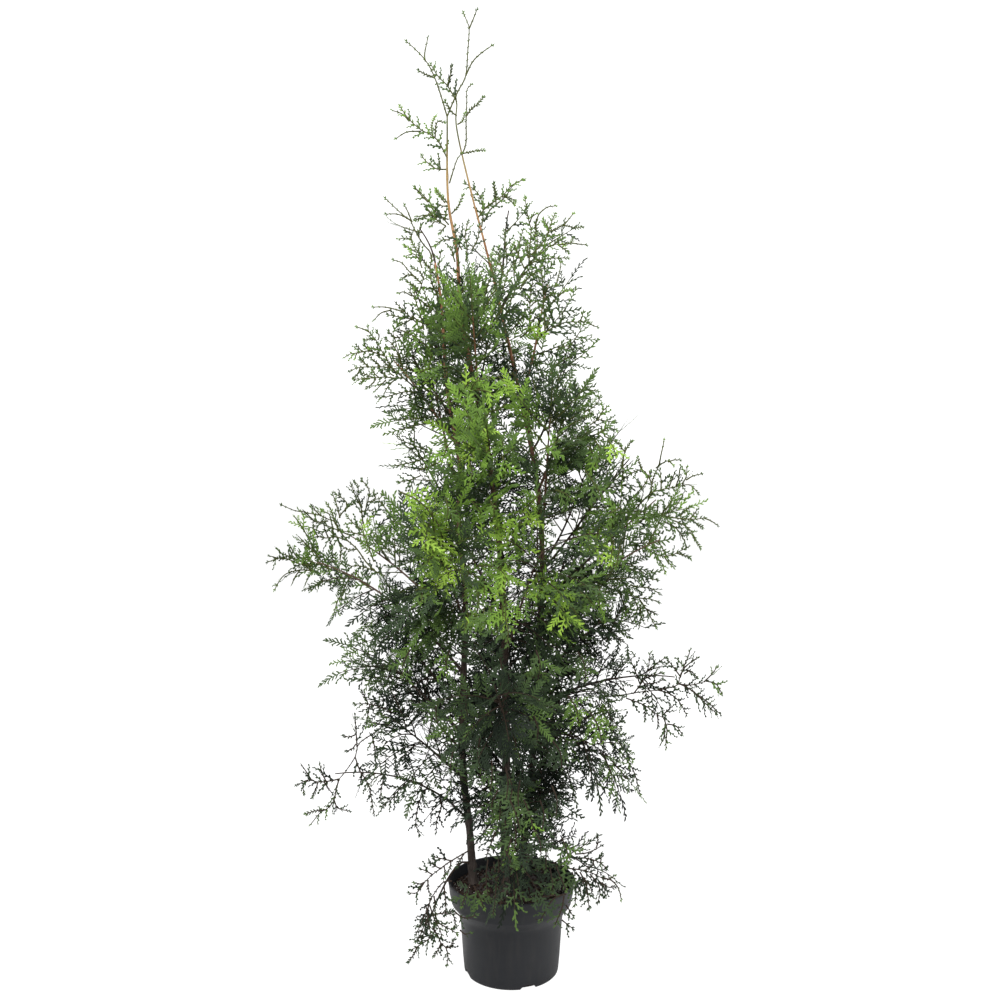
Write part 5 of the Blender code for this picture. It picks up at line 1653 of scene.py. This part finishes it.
    Zone(430, 640, 610, 866, 1.0, -0.135, 0.9, """
    plume 492 760 492 775 490 792, 506 768 508 784 506 800, 520 780 518 795 519 812,
    500 800 500 815 498 832, 515 820 516 836 514 852, 535 830 540 842 541 856, 552 786 557 800 556 816,
    568 696 576 708 579 724, 590 712 598 726 602 742, 470 688 466 702 468 718, 500 658 502 672 500 688,
    440 698 436 711 438 726, 480 738 478 753 480 770, 534 716 538 730 536 746, 512 724 516 738 514 754,
    552 740 560 752 562 768, 450 650 446 662 448 676, 536 650 540 664 538 680, 578 652 584 664 586 680,
    410 650 404 662 402 676, 456 742 452 756 450 770, 562 838 566 848 570 860, 505 850 510 860 512 870,
    506 770 512 786 510 802, 498 790 492 804 494 820, 510 800 516 814 520 830,
    antler 502 812 506 828 500 842, 524 800 530 816 534 832, plume 512 836 508 850 504 864,
    530 846 528 858 524 870, antler 496 832 490 846 486 858, plume 540 800 544 814 542 830
    """),
)


# %% Through the camera and back
FOCAL = CAMERA_LENS / SENSOR * PICTURE
PITCH = math.radians(CAMERA_PITCH)
Wave = namedtuple("Wave", "height across down length phase")
WAVES = (Wave(0.020, 1, 0, 23, 0), Wave(0.016, 0, 1, 29, 1), Wave(0.008, 1, -1, 9, 0))


def from_sight(across, down, deep):
    """The point at a depth that the camera sights at a place in the picture."""
    side, rise = (across - PICTURE / 2) / FOCAL, (PICTURE / 2 - down) / FOCAL
    ahead = math.cos(PITCH) + rise * math.sin(PITCH)
    reach = (deep - CAMERA_PLACE[1]) / ahead
    lift = rise * math.cos(PITCH) - math.sin(PITCH)
    return np.array([CAMERA_PLACE[0] + side * reach, deep, CAMERA_PLACE[2] + lift * reach])


def sighted(point):
    """Where in the picture the camera sights a point."""
    off = np.array(point) - np.array(CAMERA_PLACE)
    ahead = off[1] * math.cos(PITCH) - off[2] * math.sin(PITCH)
    lift = off[1] * math.sin(PITCH) + off[2] * math.cos(PITCH)
    return PICTURE / 2 + FOCAL * off[0] / ahead, PICTURE / 2 - FOCAL * lift / ahead


def kept_share(point):
    """The share of the crown's own growth that stays at a point."""
    across, down = sighted(point)
    inside = [zone.keep for zone in ZONES
              if zone.left < across < zone.right and zone.top < down < zone.bottom]
    return min(inside, default=1.0)


def sighted_path(zone, points):
    """The smooth path of a sighted shoot, in its zone's waving sheet."""
    placed = []
    for across, down in points:
        sheet = sum(wave.height * math.sin((across * wave.across + down * wave.down) / wave.length
                                           + wave.phase) for wave in WAVES)
        placed.append(from_sight(across, down, zone.depth + zone.wave * sheet))
    return smooth_line(placed, SHOOT_SAMPLES)


# %% [markdown]
# ## Two node trees make the crown
#
# Twigs: every branch is a chain of points with a radius, and Curve to Mesh sweeps a small ring along it.
# Sprays: every spray is one point that carries its directions, pattern, size and shade, and Instance on
# Points lays the pattern on it. Axes to Rotation turns two directions into a rotation, which saves all angle
# arithmetic.

# %% Tree for twigs
TWIG_SIDES = 5

sweep = Tree("sweep_twigs", Sides="Int", Wood="Material", Green="Material")
given = sweep.start.outputs
curve = sweep.add("GeometryNodeMeshToCurve", Mesh=given["Geometry"])
hoop = sweep.add("GeometryNodeCurvePrimitiveCircle", Resolution=given["Sides"], Radius=1.0)
tube = sweep.add("GeometryNodeCurveToMesh", Curve=curve, Profile_Curve=hoop, Scale=sweep.attribute("radius"),
                 Fill_Caps=True)
soft = sweep.add("GeometryNodeSetShadeSmooth", Geometry=tube)
wood = sweep.add("GeometryNodeSetMaterial", Geometry=soft, Material=given["Wood"])
young = sweep.add("FunctionNodeCompare", {"operation": "GREATER_THAN"}, A=sweep.attribute("young"), B=0.5)
sweep.finish(sweep.add("GeometryNodeSetMaterial", Geometry=wood, Selection=young, Material=given["Green"]))

# %% Tree for sprays
lay = Tree("lay_sprays", Patterns="Collection", **{f"Green {k}": "Material" for k in range(SHADES)})
given = lay.start.outputs
shapes = lay.add("GeometryNodeCollectionInfo", Collection=given["Patterns"], Separate_Children=True,
                 Reset_Children=True)
turn = lay.add("FunctionNodeAxesToRotation", {"primary_axis": "X", "secondary_axis": "Z"},
               Primary_Axis=lay.attribute("ahead", "FLOAT_VECTOR"),
               Secondary_Axis=lay.attribute("facing", "FLOAT_VECTOR"))
laid = lay.add("GeometryNodeInstanceOnPoints", Points=given["Geometry"], Instance=shapes, Pick_Instance=True,
               Instance_Index=lay.attribute("pattern", "INT"), Rotation=turn, Scale=lay.attribute("size"))
done = lay.add("GeometryNodeRealizeInstances", Geometry=laid)
for k in range(SHADES):
    same = lay.add("FunctionNodeCompare", {"data_type": "INT", "operation": "EQUAL"},
                   A=lay.attribute("shade", "INT"), B=k)
    done = lay.add("GeometryNodeSetMaterial", Geometry=done, Selection=same, Material=given[f"Green {k}"])
lay.finish(done)

# %% [markdown]
# Scale leaves are waxy, so each green has a soft gloss. The shades are plain colours, dealt out spray by
# spray, and run from near black on old inner sprays, which is painted shade, to the yellow green of new
# tips. Between them lie lit and shaded copies of one leaf colour: new tips are truly lighter, but most of
# the range is painted light and shade.

# %% Greens with painted light and shade, and twig finishes
# Painted light and shade: the lighter greens stand for light on the crown, the darkest for its shade.
GREENS_WITH_PAINTED_LIGHT = (
    (0.010, 0.015, 0.010), (0.019, 0.030, 0.017), (0.033, 0.053, 0.025), (0.051, 0.085, 0.029),
    (0.074, 0.128, 0.031), (0.100, 0.178, 0.033), (0.138, 0.245, 0.036), (0.190, 0.322, 0.042),
    (0.255, 0.405, 0.055),
)
greens_with_painted_light = [finish(f"scale_leaf_{k}", colour, 0.58, 0.10) for k, colour in enumerate(GREENS_WITH_PAINTED_LIGHT)]
twig_wood = finish("twig_wood", (0.034, 0.023, 0.016), 0.8, 0.15)
twig_green = finish("twig_green", (0.060, 0.068, 0.018), 0.6, 0.15)


# %% Turn arrays into the meshes that the trees read
Chain = namedtuple("Chain", "path thick thin youth")


def chains_mesh(chains):
    """Chains of points as edges, each point with a radius and its age."""
    points, edges, radii, age = [], [], [], []
    for chain in chains:
        first, count = len(points), len(chain.path)
        points += [tuple(p) for p in chain.path]
        radii += list(np.linspace(chain.thick, chain.thin, count))
        age += [chain.youth] * count
        edges += [(first + i, first + i + 1) for i in range(count - 1)]
    mesh = bpy.data.meshes.new("chains")
    mesh.from_pydata(points, edges, [])
    mesh.attributes.new("radius", "FLOAT", "POINT").data.foreach_set("value", radii)
    mesh.attributes.new("young", "FLOAT", "POINT").data.foreach_set("value", age)
    return mesh


def sprays_mesh(sprays):
    """One point for each spray, with its directions, pattern, size and shade."""
    mesh = bpy.data.meshes.new("sprays")
    mesh.from_pydata([tuple(spray.at) for spray in sprays], [], [])
    for name in ("ahead", "facing"):
        values = np.array([getattr(spray, name) for spray in sprays]).ravel()
        mesh.attributes.new(name, "FLOAT_VECTOR", "POINT").data.foreach_set("vector", values)
    for name, kind in (("pattern", "INT"), ("size", "FLOAT"), ("shade", "INT")):
        values = [getattr(spray, name) for spray in sprays]
        mesh.attributes.new(name, kind, "POINT").data.foreach_set("value", values)
    return mesh


# %% [markdown]
# ## Growing it all
#
# Each mass, smaller bough, stem and table of shoots has dice of its own, so that a change to one leaves the
# others as they grew. A chain is one twig to be swept, and its youth says whether it is green.

# %% Grow the boughs' branches
OLD, YOUNG = 0.0, 1.0
WOOD_BARE = 0.35
SPRIG_BARE = 0.014
SPRIG_FOOT, CORE_TIP = 0.0019, 0.0009
CORE_SAMPLES = 12
SMALLER_BARE = 0.12
SMALLER_MIDDLE = 26
MASS_SEED, CLOTHING_SEED, SMALLER_SEED, LEADER_SEED, ZONE_SEED, SPRAY_SEED = 7, 70, 300, 500, 700, 900

branches = {name: [] for name in masses}
chains = {name: [] for name in masses}
sprays = {name: [] for name in masses}

for number, (name, mass) in enumerate(masses.items()):
    if name in WRITTEN_OUT:
        continue
    line, last = lines[name], core_end(mass, lines[name])
    begin = WOOD_BARE * mass.wood or SPRIG_BARE / length_of(line)
    branches[name] += grow_along(name, line, begin, last, branch_length(mass), HABITS[name],
                                 droop_of(mass.end_slope), BORROWED, random.Random(MASS_SEED + number))
    if not mass.wood:
        foot = STEMS[mass.stem].tip_radius if mass.height is None else SPRIG_FOOT
        chains[name].append(Chain(part_of(line, 0.0, last, CORE_SAMPLES), foot, CORE_TIP, OLD))
for number, bough in enumerate(SMALLER):
    line = reach_line(bough)
    name = nearest_mass(line[SMALLER_MIDDLE])
    last = core_end(bough, line)
    branches[name] += grow_along(name, line, SMALLER_BARE, last, branch_length(bough), OPEN,
                                 droop_of(bough.end_slope), SHARED_SPACE,
                                 random.Random(SMALLER_SEED + number))
    chains[name].append(Chain(part_of(line, 0.0, last, CORE_SAMPLES), SPRIG_FOOT, CORE_TIP, OLD))
for number, name in enumerate(STEMS):
    for nearest, branch in clothe_stem(name, random.Random(CLOTHING_SEED + number)):
        branches[nearest].append(branch)
print("branches:", sum(map(len, branches.values())))

# %% Lay the shoots that are written out
YOUNG_ABOVE = 0.55

leader_shoots = [(name, *shoot) for name, table in LEADERS.items() for shoot in shoots_in(table)]
for number, (name, dress, (away, *places)) in enumerate(leader_shoots):
    path = leader_path(away * MILLIMETRE, in_pairs(places, MILLIMETRE))
    chains[name].append(Chain(path, *SHOOT_RADII, YOUNG))
    sprays[name] += shoot_parts(path, dress, random.Random(LEADER_SEED + number))
for zone in ZONES:
    for number, (dress, places) in enumerate(shoots_in(zone.shoots)):
        path = sighted_path(zone, in_pairs(places))
        name = nearest_mass(path[len(path) // 2])
        youth = YOUNG if path[0][2] > YOUNG_ABOVE else OLD
        chains[name].append(Chain(path, *SHOOT_RADII, youth))
        sprays[name] += shoot_parts(path, dress, random.Random(ZONE_SEED + number))

# %% Sprays that have room
SPRAY_SPACE = 0.09
FEWEST_SPRAYS = 3
BRANCH_RADII = (0.0012, 0.0005)
BRANCH_END = 0.02
BRANCH_SAMPLES = 8
AGED_BELOW = 0.5


def tip_of(spray, share=1.0):
    """The point at a share of a spray's length."""
    return spray.at + spray.ahead * (PATTERN_LENGTHS[spray.pattern] * spray.size) * share


def with_room(name, grown):
    """Those of the grown pairs, a branch's number and a spray, whose spray is clear of everything else."""
    if not grown:
        return grown
    kept = has_room(name, np.array([tip_of(spray) for _, spray in grown]), SPRAY_SPACE, SPRAY_CLEAR)
    kept &= has_room(name, np.array([tip_of(spray, 0.5) for _, spray in grown]), SPRAY_SPACE, SPRAY_CLEAR)
    return [pair for pair, fine in zip(grown, kept) if fine]


def clothe_mass(name, mass, dice):
    """The chains and sprays of a mass's own branches, where the crown is full enough and there is room."""
    borne = [branch for branch in branches[name] if dice.random() < fullness(branch.path[MIDDLE][2])]
    grown = []
    for k, branch in enumerate(borne):
        luck = dice.random()
        grown += [(k, spray) for spray in sprays_on(branch, dice) if luck < kept_share(tip_of(spray))]
    grown = with_room(name, grown)
    youth = OLD if mass.height and mass.height < AGED_BELOW else YOUNG
    twigs, clothing = [], []
    for k, branch in enumerate(borne):
        own = [spray for number, spray in grown if number == k]
        if len(own) >= FEWEST_SPRAYS:
            reach = max(spray.share for spray in own) + BRANCH_END
            twigs.append(Chain(part_of(branch.path, 0.0, reach, BRANCH_SAMPLES), *BRANCH_RADII, youth))
            clothing += own
    return twigs, clothing


# %% Make the twigs and leaves of each mass
triangles = 0
for number, (name, mass) in enumerate(masses.items()):
    own_chains, own_sprays = clothe_mass(name, mass, random.Random(SPRAY_SEED + number))
    sticks = bpy.data.objects.new("sticks", chains_mesh(chains[name] + own_chains))
    studio.objects.link(sticks)
    twigs = worked(f"twigs_{name}", sticks, sweep, Sides=TWIG_SIDES, Wood=twig_wood, Green=twig_green)
    settle(twigs, "bark", f"foliage_{name}")
    dots = bpy.data.objects.new("dots", sprays_mesh(sprays[name] + own_sprays))
    studio.objects.link(dots)
    leaves = worked(f"leaves_{name}", dots, lay, Patterns=patterns,
                    **{f"Green {k}": green for k, green in enumerate(greens_with_painted_light)})
    settle(leaves, "foliage", f"foliage_{name}")
    faces = sum(len(p.vertices) - 2 for piece in (twigs, leaves) for p in piece.data.polygons)
    triangles += faces
    print(f"{name}: {len(sprays[name] + own_sprays)} sprays, {faces} triangles")
print("crown:", triangles, "triangles")
for obj in list(patterns.objects):
    bpy.data.objects.remove(obj)
bpy.data.collections.remove(patterns)

# %% [markdown]
# ## Studio
#
# A plain pale floor and a white world give the even light of a catalogue photograph. One large soft lamp
# above and in front shapes the crown, so that its underside and middle fall into shade. A weak lamp fills
# from the right, and one behind keeps the back green when it is seen from there.

# %% Floor and world
FLOOR_SIZE = 30.0
FLOOR_GLOW = 0.80
SEEN_WHITE = 1.25
AMBIENT = 0.34
WHITE = (1.0, 1.0, 1.0, 1.0)


def seen_or_lit(tree, seen, lit):
    """A mix that the camera sees as one shader and that light meets as another."""
    path = tree.nodes.new("ShaderNodeLightPath")
    mix = tree.nodes.new("ShaderNodeMixShader")
    tree.links.new(path.outputs["Is Camera Ray"], mix.inputs["Fac"])
    tree.links.new(lit, mix.inputs[1])
    tree.links.new(seen, mix.inputs[2])
    return mix.outputs["Shader"]


floor_mesh = bpy.data.meshes.new("floor")
corners = [(x * FLOOR_SIZE, y * FLOOR_SIZE, 0) for x, y in ((-1, -1), (1, -1), (1, 1), (-1, 1))]
floor_mesh.from_pydata(corners, [], [(0, 1, 2, 3)])
pale = finish("pale_floor", (0.80, 0.80, 0.80), 0.9, 0.0)
tree = pale.node_tree
plain = tree.nodes["Principled BSDF"].outputs["BSDF"]
white = tree.nodes.new("ShaderNodeEmission")
white.inputs["Strength"].default_value = SEEN_WHITE
soft_floor = tree.nodes.new("ShaderNodeMixShader")
soft_floor.inputs["Fac"].default_value = FLOOR_GLOW
tree.links.new(plain, soft_floor.inputs[1])
tree.links.new(white.outputs["Emission"], soft_floor.inputs[2])
whole = seen_or_lit(tree, soft_floor.outputs["Shader"], plain)
tree.links.new(whole, tree.nodes["Material Output"].inputs["Surface"])
floor = put("floor", floor_mesh, pale)

world = bpy.data.worlds.new("studio")
world.use_nodes = True
tree = world.node_tree
backdrop = tree.nodes["Background"]
backdrop.inputs["Color"].default_value = WHITE
backdrop.inputs["Strength"].default_value = SEEN_WHITE
ambient = tree.nodes.new("ShaderNodeBackground")
ambient.inputs["Color"].default_value = WHITE
ambient.inputs["Strength"].default_value = AMBIENT
whole = seen_or_lit(tree, backdrop.outputs["Background"], ambient.outputs["Background"])
tree.links.new(whole, tree.nodes["World Output"].inputs["Surface"])
bpy.context.scene.world = world

# %% Lamps
Lamp = namedtuple("Lamp", "name place aim size power")
LAMPS = (
    Lamp("key", (-0.9, -1.9, 2.9), (0.0, 0.0, 0.80), 1.4, 120.0),
    Lamp("fill", (1.9, -1.4, 1.6), (0.0, 0.0, 0.6), 1.4, 26.0),
    Lamp("back", (0.7, 2.3, 2.3), (0.0, 0.0, 0.7), 1.8, 70.0),
)
for kind in LAMPS:
    lamp = bpy.data.lights.new(kind.name, "AREA")
    lamp.size = kind.size
    lamp.energy = kind.power
    obj = bpy.data.objects.new(kind.name, lamp)
    obj.location = kind.place
    obj.rotation_euler = (Vector(kind.aim) - Vector(kind.place)).to_track_quat("-Z", "Y").to_euler()
    bpy.context.scene.collection.objects.link(obj)
print("studio:", len(LAMPS), "lamps")
